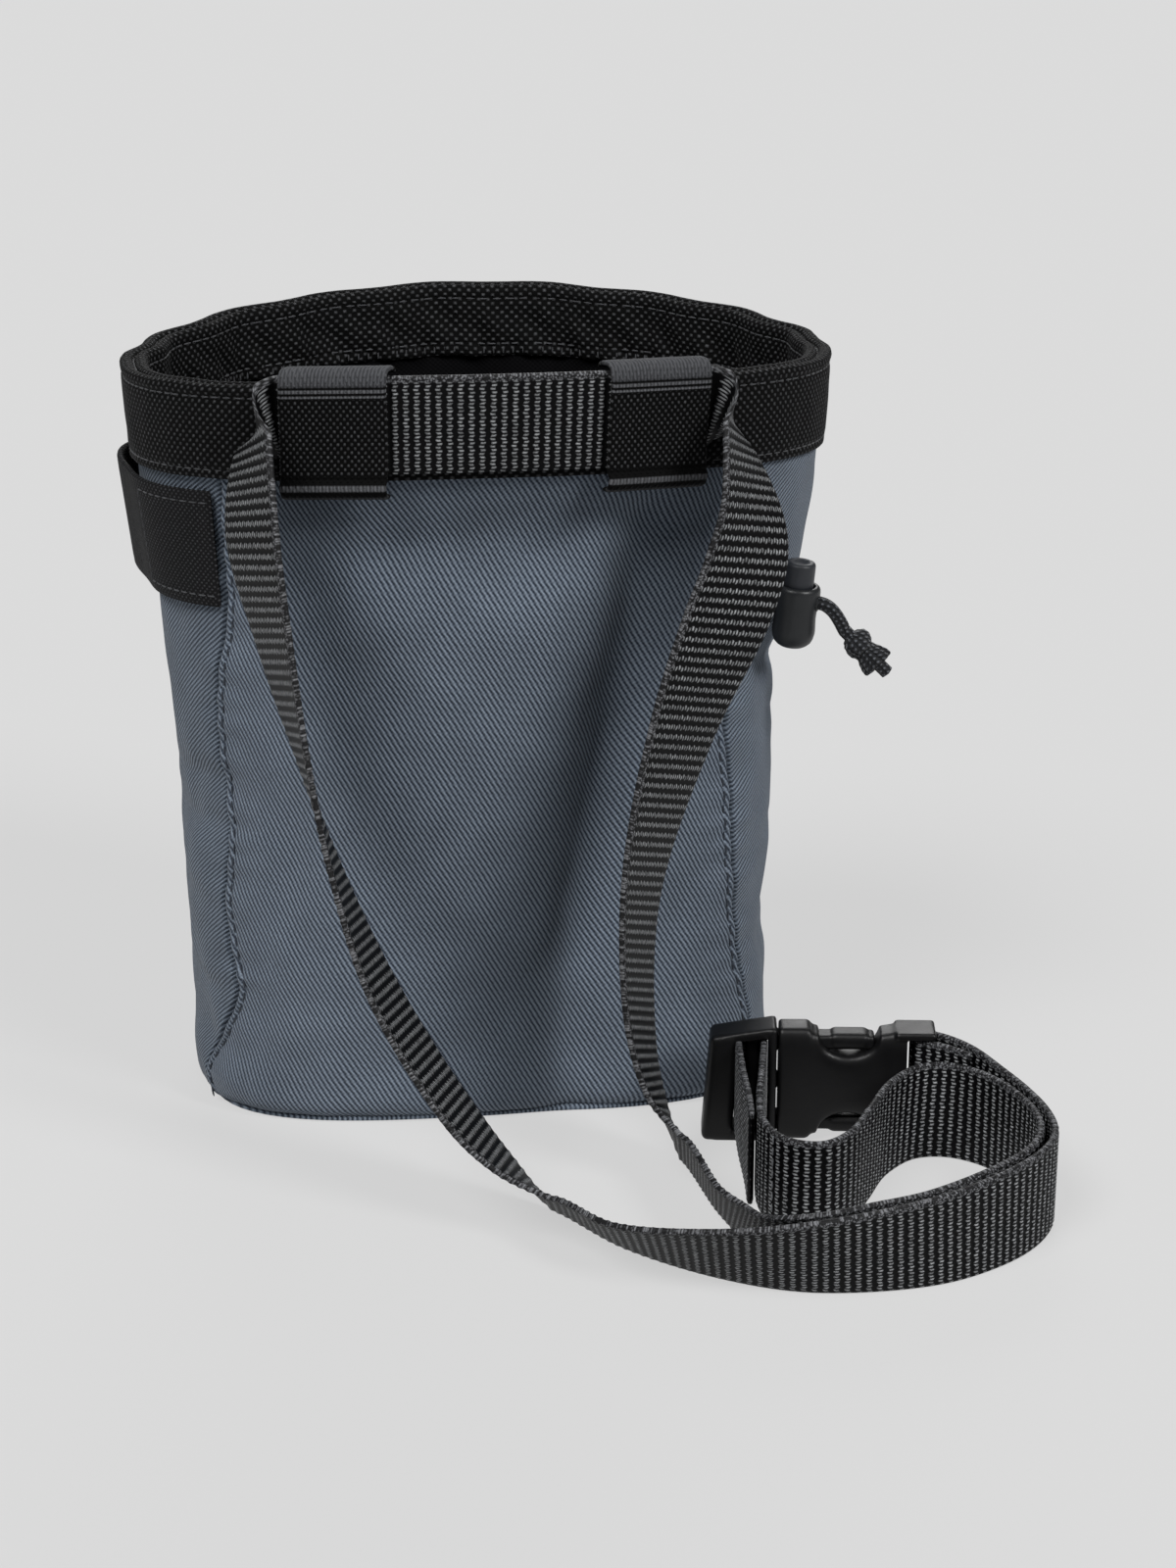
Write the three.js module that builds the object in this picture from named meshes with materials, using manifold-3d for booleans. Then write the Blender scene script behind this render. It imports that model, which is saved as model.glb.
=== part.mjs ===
// Climbing chalk bag: a cloth bag with a webbing collar, a waist belt with a side-release buckle,
// two belt loops, a brush holder, and a drawcord with a spring cord lock.
// Millimetres, +Z up. The origin is the middle of the base. The belt side faces -Y.
import * as THREE from "three";
import Module from "manifold-3d";
import { mergeVertices } from "three/addons/utils/BufferGeometryUtils.js";

const wasm = await Module();
wasm.setup();

// Driving dimensions
const bagHeight = 157;
const mouthWidth = 140;
const mouthDepth = 94;
const rimDip = 4.5;
const canvasThickness = 1.2;
const liningThickness = 1.0;
const layerGap = 0.3;
const baseThickness = 1.6;
const baseRound = 1.2;

const beltWidth = 20;
const beltThickness = 1.4;
const beltAboveRim = 2.4;
const collarThickness = 1.2;
const collarBelowBelt = 1.4;
const collarHeight = beltWidth - beltAboveRim + collarBelowBelt;
const collarInnerHeight = 14.2;
const gatherDepth = 0.8;
const gatherCount = 9;
const loopWidth = 20.5;
const loopThickness = 1.0;
const loopSpacing = 57;
const holderHeight = 23.5;
const holderThickness = 1.3;
const holderStand = 5.4;

const buckleLength = 46.5;
const buckleWidth = 25;
const buckleThickness = 7.6;
const buckleTurn = -8;
const slotMargin = 2.1;
const railBevel = 0.6;
const plugCorner = 2.5;
const socketCorner = 2;
const shoulderSlope = 1.5;
const socketWall = 1.3;
const armWidth = 3;
const armThickness = 4.4;
const barDiameter = 3;
const buckleClearance = 0.35;

const lockDiameter = 9;
const lockHeight = 12.7;
const lockFloor = 2;
const buttonDiameter = 6;
const buttonChamfer = 0.5;
const buttonShow = 4.7;
const buttonTravel = 3;
const cordDiameter = 2.7;
const knotLength = 8.6;
const knotWidth = 6.6;
const knotThickness = 5;

// Resolution of the faceted surfaces
const turnSteps = 56;
const beltStep = 6;
const collarRows = 10;
const holderRows = 16;

// Cross-sections of the cloth, bottom to top: height as a share of the bag's height, width and depth as
// shares of the mouth's. A squareness of 2 is an ellipse, and more is closer to a rectangle.
const sections = [
  { height: 0, width: 0.83, depth: 0.655, square: 3.0 },
  { height: 0.02, width: 0.85, depth: 0.682, square: 3.0 },
  { height: 0.11, width: 0.854, depth: 0.7, square: 2.9 },
  { height: 0.32, width: 0.864, depth: 0.735, square: 2.7 },
  { height: 0.53, width: 0.873, depth: 0.775, square: 2.45 },
  { height: 0.66, width: 0.905, depth: 0.8, square: 2.3 },
  { height: 0.79, width: 0.948, depth: 0.835, square: 2.15 },
  { height: 0.88, width: 0.966, depth: 0.872, square: 2.08 },
  { height: 1, width: 0.979, depth: 0.968, square: 2.0 },
];

// Dents and folds of the cloth. Turn is the share of a turn round the bag, from the middle of the belt
// side towards +X; depth is a share of the mouth's depth, and slant turns the fold per unit of height.
const folds = [
  { turn: 0.055, height: 0.42, span: 0.028, reach: 0.3, slant: 0.19, depth: 0.034 },
  { turn: -0.035, height: 0.45, span: 0.06, reach: 0.34, slant: 0.08, depth: -0.014 },
  { turn: 0.01, height: 0.8, span: 0.06, reach: 0.05, slant: 0, depth: 0.022 },
  { turn: -0.2, height: 0.42, span: 0.05, reach: 0.05, slant: 0.3, depth: 0.02 },
  { turn: -0.21, height: 0.14, span: 0.05, reach: 0.05, slant: -0.4, depth: 0.018 },
  { turn: 0.22, height: 0.6, span: 0.05, reach: 0.05, slant: -0.3, depth: 0.02 },
  { turn: 0.21, height: 0.25, span: 0.05, reach: 0.06, slant: 0.4, depth: 0.014 },
  { turn: 0.46, height: 0.42, span: 0.04, reach: 0.3, slant: -0.1, depth: 0.024 },
];

// Where the collar is gathered: how far round from the middle of the far side and over what length it
// fades, as shares of a turn, and between which shares of the height it grows
const gatherPlace = { round: 0.28, fade: 0.08, from: 0.84, full: 0.95 };

// Seams between the panels, as shares of a turn
const seams = { backLeft: -0.149, backRight: 0.134, frontRight: 0.366, frontLeft: 0.634 };

// The belt, from its tail at the buckle's socket to its sewn end at the buckle's plug.
// Across and out place the strip's middle as shares of half the mouth's width and depth (out is towards
// -Y), height as a share of the bag's height. Edge is the direction towards the strip's upper edge.
const leftHang = [
  { across: -0.046, out: 1.6, height: 0.08, edge: [-0.2, -0.93, 0.3] },
  { across: -0.159, out: 1.523, height: 0.138, edge: [-0.28, -0.94, 0.2] },
  { across: -0.349, out: 1.383, height: 0.283, edge: [-0.27, -0.94, 0.2] },
  { across: -0.474, out: 1.277, height: 0.441, edge: [-0.1, -0.95, 0.29] },
  { across: -0.551, out: 1.194, height: 0.58, edge: [0.1, -0.95, 0.3] },
  { across: -0.609, out: 1.113, height: 0.704, edge: [0.3, -0.91, 0.28] },
  { across: -0.655, out: 1.04, height: 0.83, edge: [0.46, -0.86, 0.24] },
];
const rightHang = [
  { across: 0.672, out: 1.03, height: 0.845, edge: [-0.66, -0.7, 0.27] },
  { across: 0.654, out: 1.098, height: 0.785, edge: [-0.84, -0.49, 0.23] },
  { across: 0.593, out: 1.145, height: 0.711, edge: [-0.87, -0.43, 0.24] },
  { across: 0.479, out: 1.151, height: 0.576, edge: [-0.7, -0.64, 0.3] },
  { across: 0.369, out: 1.181, height: 0.378, edge: [-0.46, -0.8, 0.37] },
  { across: 0.366, out: 1.208, height: 0.194, edge: [-0.37, -0.83, 0.42] },
  { across: 0.407, out: 1.24, height: 0.106, edge: [-0.27, -0.87, 0.41] },
];
// Stretches beside the buckle: distances along the buckle from one of its bars and outwards from its
// middle, as shares of the buckle's width. Lift is the height of the strip's lower edge as a share of the
// gap under a strip that is centred in the buckle.
const tailEnd = [
  { along: 0.344, out: 0.288, lift: 0.8 },
  { along: 0.2, out: 0.184, lift: 0.9 },
];
const outerStart = [
  { along: 0.192, out: -0.016, lift: 0.9 },
  { along: 0.376, out: 0.14, lift: 0.7 },
  { along: 0.58, out: 0.432, lift: 0.3 },
];
const sewnZone = [
  { along: 0.064, out: 1.28, lift: 0.05 },
  { along: 0.048, out: 0.96, lift: 0.3 },
  { along: 0.08, out: 0.48, lift: 0.7 },
];
const sewnEnd = [
  { along: -0.08, out: 0.48, lift: 0.7 },
  { along: -0.032, out: 0.96, lift: 0.3 },
  { along: -0.016, out: 1.24, lift: 0.05 },
];
// Stretches that lie on the floor on the strip's lower edge
const outerRun = [
  { across: 1.427, out: 1.489, lift: 0.1, edge: [0, 0, 1] },
  { across: 1.452, out: 1.681, lift: 0, edge: [0, 0, 1] },
  { across: 1.443, out: 1.862, lift: 0, edge: [0, 0, 1] },
  { across: 1.379, out: 2.028, lift: 0, edge: [0, 0, 1] },
  { across: 1.249, out: 2.191, lift: 0, edge: [-0.03, -0.04, 1] },
  { across: 1.046, out: 2.315, lift: 0, edge: [-0.075, -0.165, 0.985] },
  { across: 0.731, out: 2.317, lift: 0, edge: [-0.095, -0.385, 0.92] },
  { across: 0.511, out: 2.179, lift: 0, edge: [-0.145, -0.575, 0.81] },
  { across: 0.274, out: 1.894, lift: 0, edge: [-0.2, -0.74, 0.64] },
  { across: 0.101, out: 1.54, lift: 0, edge: [-0.13, -0.82, 0.56] },
];
const innerRun = [
  { across: 0.493, out: 1.157, lift: 0, edge: [-0.13, -0.75, 0.65] },
  { across: 0.551, out: 1.632, lift: 0, edge: [-0.125, -0.75, 0.65] },
  { across: 0.579, out: 1.8, lift: 0, edge: [-0.055, -0.74, 0.67] },
  { across: 0.61, out: 2.01, lift: 0, edge: [-0.03, -0.65, 0.76] },
  { across: 0.671, out: 2.17, lift: 0, edge: [-0.03, -0.5, 0.865] },
  { across: 0.771, out: 2.255, lift: 0, edge: [-0.06, -0.37, 0.925] },
  { across: 0.9, out: 2.27, lift: 0, edge: [-0.07, -0.26, 0.96] },
  { across: 1.046, out: 2.255, lift: 0, edge: [-0.07, -0.165, 0.985] },
  { across: 1.229, out: 2.145, lift: 0, edge: [-0.03, -0.04, 1] },
  { across: 1.347, out: 2.0, lift: 0, edge: [0, 0, 1] },
  { across: 1.406, out: 1.846, lift: 0, edge: [0, 0, 1] },
  { across: 1.419, out: 1.691, lift: 0, edge: [0, 0, 1] },
  { across: 1.394, out: 1.5, lift: 0, edge: [0, 0, 1] },
  { across: 1.333, out: 1.335, lift: 0, edge: [0, 0.05, 1] },
  { across: 1.243, out: 1.245, lift: 0, edge: [0.04, 0.08, 1] },
  { across: 1.15, out: 1.245, lift: 0, edge: [0.06, 0.1, 1] },
  { across: 1.05, out: 1.37, lift: 0, edge: [0.05, 0.08, 1] },
  { across: 0.965, out: 1.59, lift: 0, edge: [0.02, 0.03, 1] },
  { across: 0.89, out: 1.78, lift: 0, edge: [0, 0, 1] },
  { across: 0.81, out: 1.865, lift: 0, edge: [0, 0, 1] },
  { across: 0.735, out: 1.84, lift: 0, edge: [0, 0, 1] },
  { across: 0.69, out: 1.76, lift: 0, edge: [0, 0, 1] },
];
// Where the belt folds round the cloth loops' outer ends: distance from the loop, wrap radius and how
// far round it goes
const foldStart = 0.8;
const foldRadius = 3;
const foldSweep = 105;
const foldRows = 4;

// The buckle's left end, as shares of half the mouth's width and depth
const buckleStart = { across: 0.571, out: 0.906 };
// Lengths along the buckle from that end, as shares of its length
const buckleParts = { plugBar: 0.21, plugEnd: 0.32, shoulder: 0.46, windowEnd: 0.8, socketBar: 0.955, armEnd: 0.74 };
// Half widths of the socket as shares of half the buckle's width, to its finger scoops' ground too, and
// the scoops' length as a share of the stretch between the shoulder and the window's end
const socketShape = { shoulder: 0.98, waist: 0.88, heel: 0.94, scoop: 0.5, scoopLength: 0.76 };

// The brush holder's middle as a share of the bag's height, how far it reaches past its seams as a share
// of a turn, where its second seam lies as a share of its length, and how far its opening lags towards
// the far seam
const holderPlace = { height: 0.785, margin: 0.004, stitch: 0.28, lag: 1.5 };

// The cord lock's foot: across, out and height as above, and its lean and turn in degrees
const lockPlace = { across: 0.85, out: 0.521, height: 0.62, lean: 5, turn: -20 };
// The drawcord's height in the lock, as a share of the lock's height
const cordShare = 0.75;
// Points of the drawcord from the side panel to the knot, chosen by hand
const cordRoute = [
  [55.7, -23.1, 107.2],
  [60.3, -24.8, 106.8],
  [65.2, -26.6, 106.3],
  [66.9, -27.1, 105.2],
  [68.5, -27.2, 102.9],
  [69.5, -27.2, 100.9],
];
// Direction in which the knot continues the cord, and where it starts past the route's last point, as a
// share of the cord's diameter
const knotAxis = new THREE.Vector3(0.7, -0.12, -0.7).normalize();
const knotStart = 0.48;

const degree = Math.PI / 180;
const halfWidth = mouthWidth / 2;
const halfDepth = mouthDepth / 2;

// Value of a table's column at a share of the height, smoothed between its rows
function tableValue(rows, column, share) {
  const last = rows.length - 1;
  let index = 0;
  while (index < last - 1 && share > rows[index + 1].height) index += 1;
  const low = rows[index];
  const high = rows[index + 1];
  const before = rows[Math.max(index - 1, 0)];
  const after = rows[Math.min(index + 2, last)];
  const run = high.height - low.height;
  const t = THREE.MathUtils.clamp((share - low.height) / run, 0, 1.2);
  const startSlope = ((high[column] - before[column]) / (high.height - before.height)) * run;
  const endSlope = ((after[column] - low[column]) / (after.height - low.height)) * run;
  const t2 = t * t;
  const t3 = t2 * t;
  return (2 * t3 - 3 * t2 + 1) * low[column] + (t3 - 2 * t2 + t) * startSlope
    + (3 * t2 - 2 * t3) * high[column] + (t3 - t2) * endSlope;
}

// How far the cloth stands in or out of its plain section at a place
function foldOffset(turn, share) {
  let offset = 0;
  for (const fold of folds) {
    const up = share - fold.height;
    let round = turn - fold.turn;
    round -= Math.round(round);
    const across = (round - fold.slant * up) / fold.span;
    const along = up / fold.reach;
    offset -= fold.depth * mouthDepth * Math.exp(-across * across - along * along);
  }
  const fromFar = Math.abs(turn - Math.round(turn - 0.5) - 0.5);
  const farSide = THREE.MathUtils.smoothstep(gatherPlace.round - fromFar, 0, gatherPlace.fade);
  const nearRim = THREE.MathUtils.smoothstep(share, gatherPlace.from, gatherPlace.full);
  return offset + gatherDepth * farSide * nearRim * Math.sin(4 * Math.PI * gatherCount * turn);
}

// Height of the rim at a place round the bag
function rimHeight(turn) {
  return bagHeight - rimDip * Math.sin(2 * Math.PI * turn) ** 2;
}

// Point of the bag: share of a turn, share of the height, and distance outwards from the cloth's face
function bagPoint(turn, share, offset) {
  const angle = 2 * Math.PI * (turn - 0.25);
  const square = tableValue(sections, "square", share);
  const cos = Math.cos(angle);
  const sin = Math.sin(angle);
  const reach = (Math.abs(cos) ** square + Math.abs(sin) ** square) ** (-1 / square);
  const stand = offset + foldOffset(turn, share);
  return new THREE.Vector3(
    (tableValue(sections, "width", share) * halfWidth + stand) * cos * reach,
    (tableValue(sections, "depth", share) * halfDepth + stand) * sin * reach,
    share * rimHeight(turn),
  );
}

// The same, placed by a drop below the rim
function rimPoint(turn, drop, offset) {
  return bagPoint(turn, 1 - drop / bagHeight, offset);
}

// A closed geometry from points and triangles, turned inside out if its volume is negative
function closedGeometry(points, triangles) {
  let volume = 0;
  const cross = new THREE.Vector3();
  for (const [a, b, c] of triangles) {
    volume += points[a].dot(cross.crossVectors(points[b], points[c]));
  }
  const index = triangles.flatMap(([a, b, c]) => (volume < 0 ? [a, c, b] : [a, b, c]));
  const geometry = new THREE.BufferGeometry();
  geometry.setAttribute("position", new THREE.Float32BufferAttribute(points.flatMap((p) => p.toArray()), 3));
  geometry.setIndex(index);
  return geometry;
}

// Two triangles of a four-cornered face, cut along its shorter diagonal
function splitFace(points, [a, b, c, d]) {
  if (points[a].distanceToSquared(points[c]) < points[b].distanceToSquared(points[d])) {
    return [[a, b, c], [a, c, d]];
  }
  return [[a, b, d], [b, c, d]];
}

// Solid through rings of equal length. Its ends are closed by fans, or joined to each other.
function ringSolid(rings, joined) {
  const count = rings[0].length;
  const points = rings.flat();
  const triangles = [];
  const bands = joined ? rings.length : rings.length - 1;
  for (let ring = 0; ring < bands; ring += 1) {
    const next = (ring + 1) % rings.length;
    for (let i = 0; i < count; i += 1) {
      const j = (i + 1) % count;
      const corners = [ring * count + i, ring * count + j, next * count + j, next * count + i];
      triangles.push(...splitFace(points, corners));
    }
  }
  if (!joined) {
    for (const ring of [0, rings.length - 1]) {
      const middle = points.length;
      const sum = rings[ring].reduce((total, p) => total.add(p), new THREE.Vector3());
      points.push(sum.divideScalar(count));
      for (let i = 0; i < count; i += 1) {
        const pair = [ring * count + i, ring * count + ((i + 1) % count)];
        triangles.push(ring === 0 ? [middle, pair[1], pair[0]] : [middle, pair[0], pair[1]]);
      }
    }
  }
  return closedGeometry(points, triangles);
}

// Evenly spaced values from one number to another
function steps(from, to, count) {
  return Array.from({ length: count + 1 }, (_, i) => from + ((to - from) * i) / count);
}

// Levels shared by the cloth, the lining and the collar, so that their facets stay parallel
const clothTop = collarThickness + 2 * layerGap;
const clothLevels = [
  (baseThickness + layerGap) / bagHeight,
  ...[0.03, 0.1, 0.2, 0.32, 0.44, 0.56, 0.68, 0.8],
  ...[collarHeight, collarInnerHeight, collarInnerHeight / 2, clothTop].map((drop) => 1 - drop / bagHeight),
];

function panelTurns(from, to) {
  return steps(from, to, Math.max(4, Math.round((to - from) * turnSteps)));
}

const panels = [
  [seams.backLeft, seams.backRight],
  [seams.backRight, seams.frontRight],
  [seams.frontRight, seams.frontLeft],
  [seams.frontLeft, 1 + seams.backLeft],
];

// All turns round the bag, with one at each seam
const roundTurns = panels.flatMap(([from, to]) => panelTurns(from, to).slice(0, -1));

// Cloth panel between two seams, with its wall inwards from the bag's face
function clothPanel([from, to]) {
  const seamGap = (0.75 * layerGap) / (Math.PI * (halfWidth + halfDepth));
  const turns = panelTurns(from, to);
  turns[0] += seamGap;
  turns[turns.length - 1] -= seamGap;
  return stripSolid(clothLevels.map((share) => {
    const outer = turns.map((turn) => bagPoint(turn, share, 0));
    const inner = turns.map((turn) => bagPoint(turn, share, -canvasThickness)).reverse();
    return [...outer, ...inner];
  }));
}

// Solid through sections whose end sections are flat strips: halves of each section face each other
function stripSolid(rings) {
  const count = rings[0].length;
  const points = rings.flat();
  const triangles = [];
  for (let ring = 0; ring < rings.length - 1; ring += 1) {
    for (let i = 0; i < count; i += 1) {
      const j = (i + 1) % count;
      const low = ring * count;
      const high = low + count;
      triangles.push(...splitFace(points, [low + i, low + j, high + j, high + i]));
    }
  }
  for (let i = 0; i < count / 2 - 1; i += 1) {
    const end = (rings.length - 1) * count;
    const facing = count - 1 - i;
    triangles.push([i, facing, facing - 1], [i, facing - 1, i + 1]);
    triangles.push([end + i, end + i + 1, end + facing - 1], [end + i, end + facing - 1, end + facing]);
  }
  return closedGeometry(points, triangles);
}

function basePanel() {
  const ring = (z, inset) => roundTurns.map((turn) => bagPoint(turn, 0, -inset).setZ(z));
  const middle = 0.4 * baseThickness;
  return ringSolid([ring(0, baseRound), ring(middle, layerGap), ring(baseThickness, layerGap)], false);
}

// The inner bag: a thin cup that follows the cloth
function liningCup() {
  const outer = -(canvasThickness + layerGap);
  const inner = outer - liningThickness;
  const floor = baseThickness + layerGap;
  const level = (z, offset, shrink) => roundTurns.map((turn) => {
    return bagPoint(turn, z / bagHeight, offset).multiplyScalar(shrink).setZ(z);
  });
  const wall = (offset) => clothLevels.slice(1).map((share) => {
    return roundTurns.map((turn) => bagPoint(turn, share, offset));
  });
  return ringSolid([
    level(floor, outer, 1),
    ...wall(outer),
    ...wall(inner).reverse(),
    level(floor + liningThickness, inner, 1),
  ], false);
}

// Webbing folded over the rim, round the cloth and the lining
function collarRing() {
  const outside = layerGap;
  const inside = -(canvasThickness + 2 * layerGap + liningThickness);
  const far = outside + collarThickness;
  const deep = inside - collarThickness;
  const middle = collarInnerHeight / 2;
  const profile = [
    { drop: collarHeight, offset: outside },
    { drop: collarHeight, offset: far },
    { drop: collarInnerHeight, offset: far },
    { drop: middle, offset: far },
    { drop: collarThickness, offset: far },
    { drop: 0, offset: far - collarThickness },
    { drop: 0, offset: deep + collarThickness },
    { drop: collarThickness, offset: deep },
    { drop: middle, offset: deep },
    { drop: collarInnerHeight, offset: deep },
    { drop: collarInnerHeight, offset: inside },
    { drop: middle, offset: inside },
    { drop: collarThickness, offset: inside },
    { drop: collarThickness, offset: outside },
    { drop: middle, offset: outside },
    { drop: collarInnerHeight, offset: outside },
  ];
  const rings = profile.map(({ drop, offset }) => roundTurns.map((turn) => rimPoint(turn, drop, offset)));
  return ringSolid(rings, true);
}

// Strip of webbing along rows of middle points and edge directions
function webbingStrip(rows, width, thickness) {
  const rings = rows.map((row, i) => {
    const ahead = rows[Math.min(i + 1, rows.length - 1)].at.clone();
    const along = ahead.sub(rows[Math.max(i - 1, 0)].at).normalize();
    const side = row.edge.clone().normalize().multiplyScalar(width / 2);
    const face = new THREE.Vector3().crossVectors(along, side).setLength(thickness / 2);
    const corner = (s, f) => row.at.clone().addScaledVector(side, s).addScaledVector(face, f);
    return [corner(-1, -1), corner(1, -1), corner(1, 1), corner(-1, 1)];
  });
  return stripSolid(rings);
}

// Rows spaced by about one step along a smooth curve through the given rows
function smoothRows(rows, step) {
  const curve = new THREE.CatmullRomCurve3(rows.map((row) => row.at), false, "centripetal");
  const edges = new THREE.CatmullRomCurve3(rows.map((row) => row.edge), false, "catmullrom");
  const result = [];
  for (let i = 0; i < rows.length - 1; i += 1) {
    const pieces = Math.max(1, Math.round(rows[i].at.distanceTo(rows[i + 1].at) / step));
    for (let k = 0; k < pieces; k += 1) {
      const t = (i + k / pieces) / (rows.length - 1);
      result.push({ at: curve.getPoint(t), edge: edges.getPoint(t).normalize() });
    }
  }
  const last = rows[rows.length - 1];
  result.push({ at: last.at.clone(), edge: last.edge.clone() });
  return result;
}

// Where the belt lies on the collar: distance outwards, and drop below the rim
const beltStand = layerGap + collarThickness + layerGap + beltThickness / 2;
const beltDrop = beltWidth / 2 - beltAboveRim;

// Direction up along the collar at a place
function collarUp(turn) {
  return rimPoint(turn, 0, 0).sub(rimPoint(turn, collarHeight, 0)).normalize();
}

// Share of a turn at which the collar's belt side lies a given distance across
function turnAcross(across) {
  const collarWidth = tableValue(sections, "width", 1 - beltDrop / bagHeight) * halfWidth;
  return Math.asin(across / collarWidth) / (2 * Math.PI);
}

function beltOnCollar() {
  const reach = turnAcross(loopSpacing / 2 + loopWidth / 2);
  return steps(-reach, reach, collarRows).map((turn) => {
    return { at: rimPoint(turn, beltDrop, beltStand), edge: collarUp(turn) };
  });
}

// The soft diagonal fold at a loop's outer end: the strip wraps a slanted line and turns downwards
function beltFold(start, side) {
  const ahead = new THREE.Vector3(side, 0, 0);
  const flat = new THREE.Vector3(side, 0, -1).multiplyScalar(0.5);
  const turned = new THREE.Vector3(side, 0, 1).multiplyScalar(0.5);
  const out = new THREE.Vector3(0, -Math.SQRT1_2, 0);
  const rows = [];
  const at = start.clone().addScaledVector(ahead, foldStart);
  const sweepStep = (foldSweep * degree) / foldRows;
  for (let i = 1; i <= foldRows; i += 1) {
    const angle = sweepStep * i;
    const middle = angle - sweepStep / 2;
    const along = flat.clone().addScaledVector(turned, Math.cos(middle)).addScaledVector(out, Math.sin(middle));
    at.addScaledVector(along, foldRadius * Math.SQRT2 * sweepStep);
    const edge = flat.clone().negate().addScaledVector(turned, Math.cos(angle))
      .addScaledVector(out, Math.sin(angle));
    rows.push({ at: at.clone(), edge });
  }
  return rows;
}

const liftFull = (buckleWidth - beltWidth) / 2;

function hangRow({ across, out, height, edge }) {
  return {
    at: new THREE.Vector3(across * halfWidth, -out * halfDepth, height * bagHeight),
    edge: new THREE.Vector3(...edge).normalize(),
  };
}

function floorRow({ across, out, lift, edge }) {
  const up = new THREE.Vector3(...edge).normalize();
  const lean = Math.sqrt(Math.max(0, 1 - up.z * up.z));
  const at = new THREE.Vector3(across * halfWidth, -out * halfDepth, lift * liftFull);
  at.addScaledVector(up, beltWidth / 2);
  at.z += (lean * beltThickness) / 2;
  return { at, edge: up };
}

// The buckle's own axes: along its length, and outwards from its face
const buckleAlong = new THREE.Vector3(Math.cos(buckleTurn * degree), Math.sin(buckleTurn * degree), 0);
const buckleOut = new THREE.Vector3(buckleAlong.y, -buckleAlong.x, 0);
const buckleFoot = new THREE.Vector3(
  buckleStart.across * halfWidth,
  -buckleStart.out * halfDepth,
  buckleWidth / 2,
);

// The belt's bend round a bar of the buckle, from one side of the bar to the other
function barBend(share, fromAngle, toAngle) {
  const radius = barDiameter / 2 + layerGap + beltThickness / 2;
  const middle = buckleFoot.clone().addScaledVector(buckleAlong, share * buckleLength);
  return steps(fromAngle, toAngle, 6).map((angle) => {
    const at = middle.clone().addScaledVector(buckleAlong, radius * Math.cos(angle * degree));
    at.addScaledVector(buckleOut, radius * Math.sin(angle * degree));
    return { at, edge: new THREE.Vector3(0, 0, 1) };
  });
}

// Rows beside the buckle, placed from the bar at a share of its length
function buckleRows(share, rows) {
  return rows.map(({ along, out, lift }) => {
    const at = buckleFoot.clone().addScaledVector(buckleAlong, share * buckleLength + along * buckleWidth);
    at.addScaledVector(buckleOut, out * buckleWidth).setZ(lift * liftFull + beltWidth / 2);
    return { at, edge: new THREE.Vector3(0, 0, 1) };
  });
}

// Lifts a row whose strip would reach below the floor
function restOnFloor({ at, edge }) {
  const low = at.z - (edge.z * beltWidth) / 2 - (Math.sqrt(1 - edge.z * edge.z) * beltThickness) / 2;
  return { at: at.clone().setZ(at.z - Math.min(0, low)), edge };
}

function beltRows() {
  const { socketBar, plugBar } = buckleParts;
  const across = beltOnCollar();
  return smoothRows([
    ...buckleRows(socketBar, tailEnd),
    ...barBend(socketBar, 90, 270),
    ...buckleRows(socketBar, outerStart),
    ...outerRun.map(floorRow),
    ...leftHang.map(hangRow),
    ...beltFold(across[0].at, -1).reverse(),
    ...across,
    ...beltFold(across[across.length - 1].at, 1),
    ...rightHang.map(hangRow),
    ...innerRun.map(floorRow),
    ...buckleRows(plugBar, sewnZone),
    ...barBend(plugBar, 0, -180),
    ...buckleRows(plugBar, sewnEnd),
  ], beltStep).map(restOnFloor);
}

// Webbing loop round the belt, from under its lower edge over its upper edge to the rim
function beltLoop(middle) {
  const near = layerGap + collarThickness + layerGap + loopThickness / 2;
  const front = beltStand + beltThickness / 2 + layerGap + loopThickness / 2;
  const under = beltDrop + beltWidth / 2 + layerGap + loopThickness / 2;
  const over = beltDrop - beltWidth / 2 - layerGap - loopThickness / 2;
  const path = [
    { drop: under + 1.2 * loopThickness, offset: near },
    { drop: under + 0.4 * loopThickness, offset: (near + front) / 2 },
    { drop: under - loopThickness, offset: front },
    { drop: beltDrop, offset: front },
    { drop: over + loopThickness, offset: front },
    { drop: over, offset: front - 0.8 * loopThickness },
    { drop: over, offset: near - loopThickness - collarThickness },
    { drop: over + 0.9 * loopThickness, offset: near - loopThickness - 2 * collarThickness },
  ];
  const turn = turnAcross(middle);
  const side = rimPoint(turn + 0.01, beltDrop, 0).sub(rimPoint(turn - 0.01, beltDrop, 0)).normalize();
  const rows = path.map(({ drop, offset }) => ({ at: rimPoint(turn, drop, offset), edge: side }));
  return webbingStrip(rows, loopWidth, loopThickness);
}

// Brush holder: a sleeve of webbing on the left side panel, sewn down at both seams and once between
function brushHolder() {
  const first = seams.backLeft - holderPlace.margin;
  const last = seams.frontLeft - 1 + holderPlace.margin;
  const stitch = first + holderPlace.stitch * (last - first);
  const rows = steps(first, last, holderRows).map((turn) => {
    const open = Math.max(0, (turn - stitch) / (last - stitch));
    const stand = holderStand * Math.sin(Math.PI * open ** holderPlace.lag) ** 2;
    const height = holderPlace.height;
    const at = bagPoint(turn, height, layerGap + holderThickness / 2 + stand);
    return { at, edge: bagPoint(turn, height + 0.05, 0).sub(bagPoint(turn, height - 0.05, 0)).normalize() };
  });
  return webbingStrip(rows, holderHeight, holderThickness);
}

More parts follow.
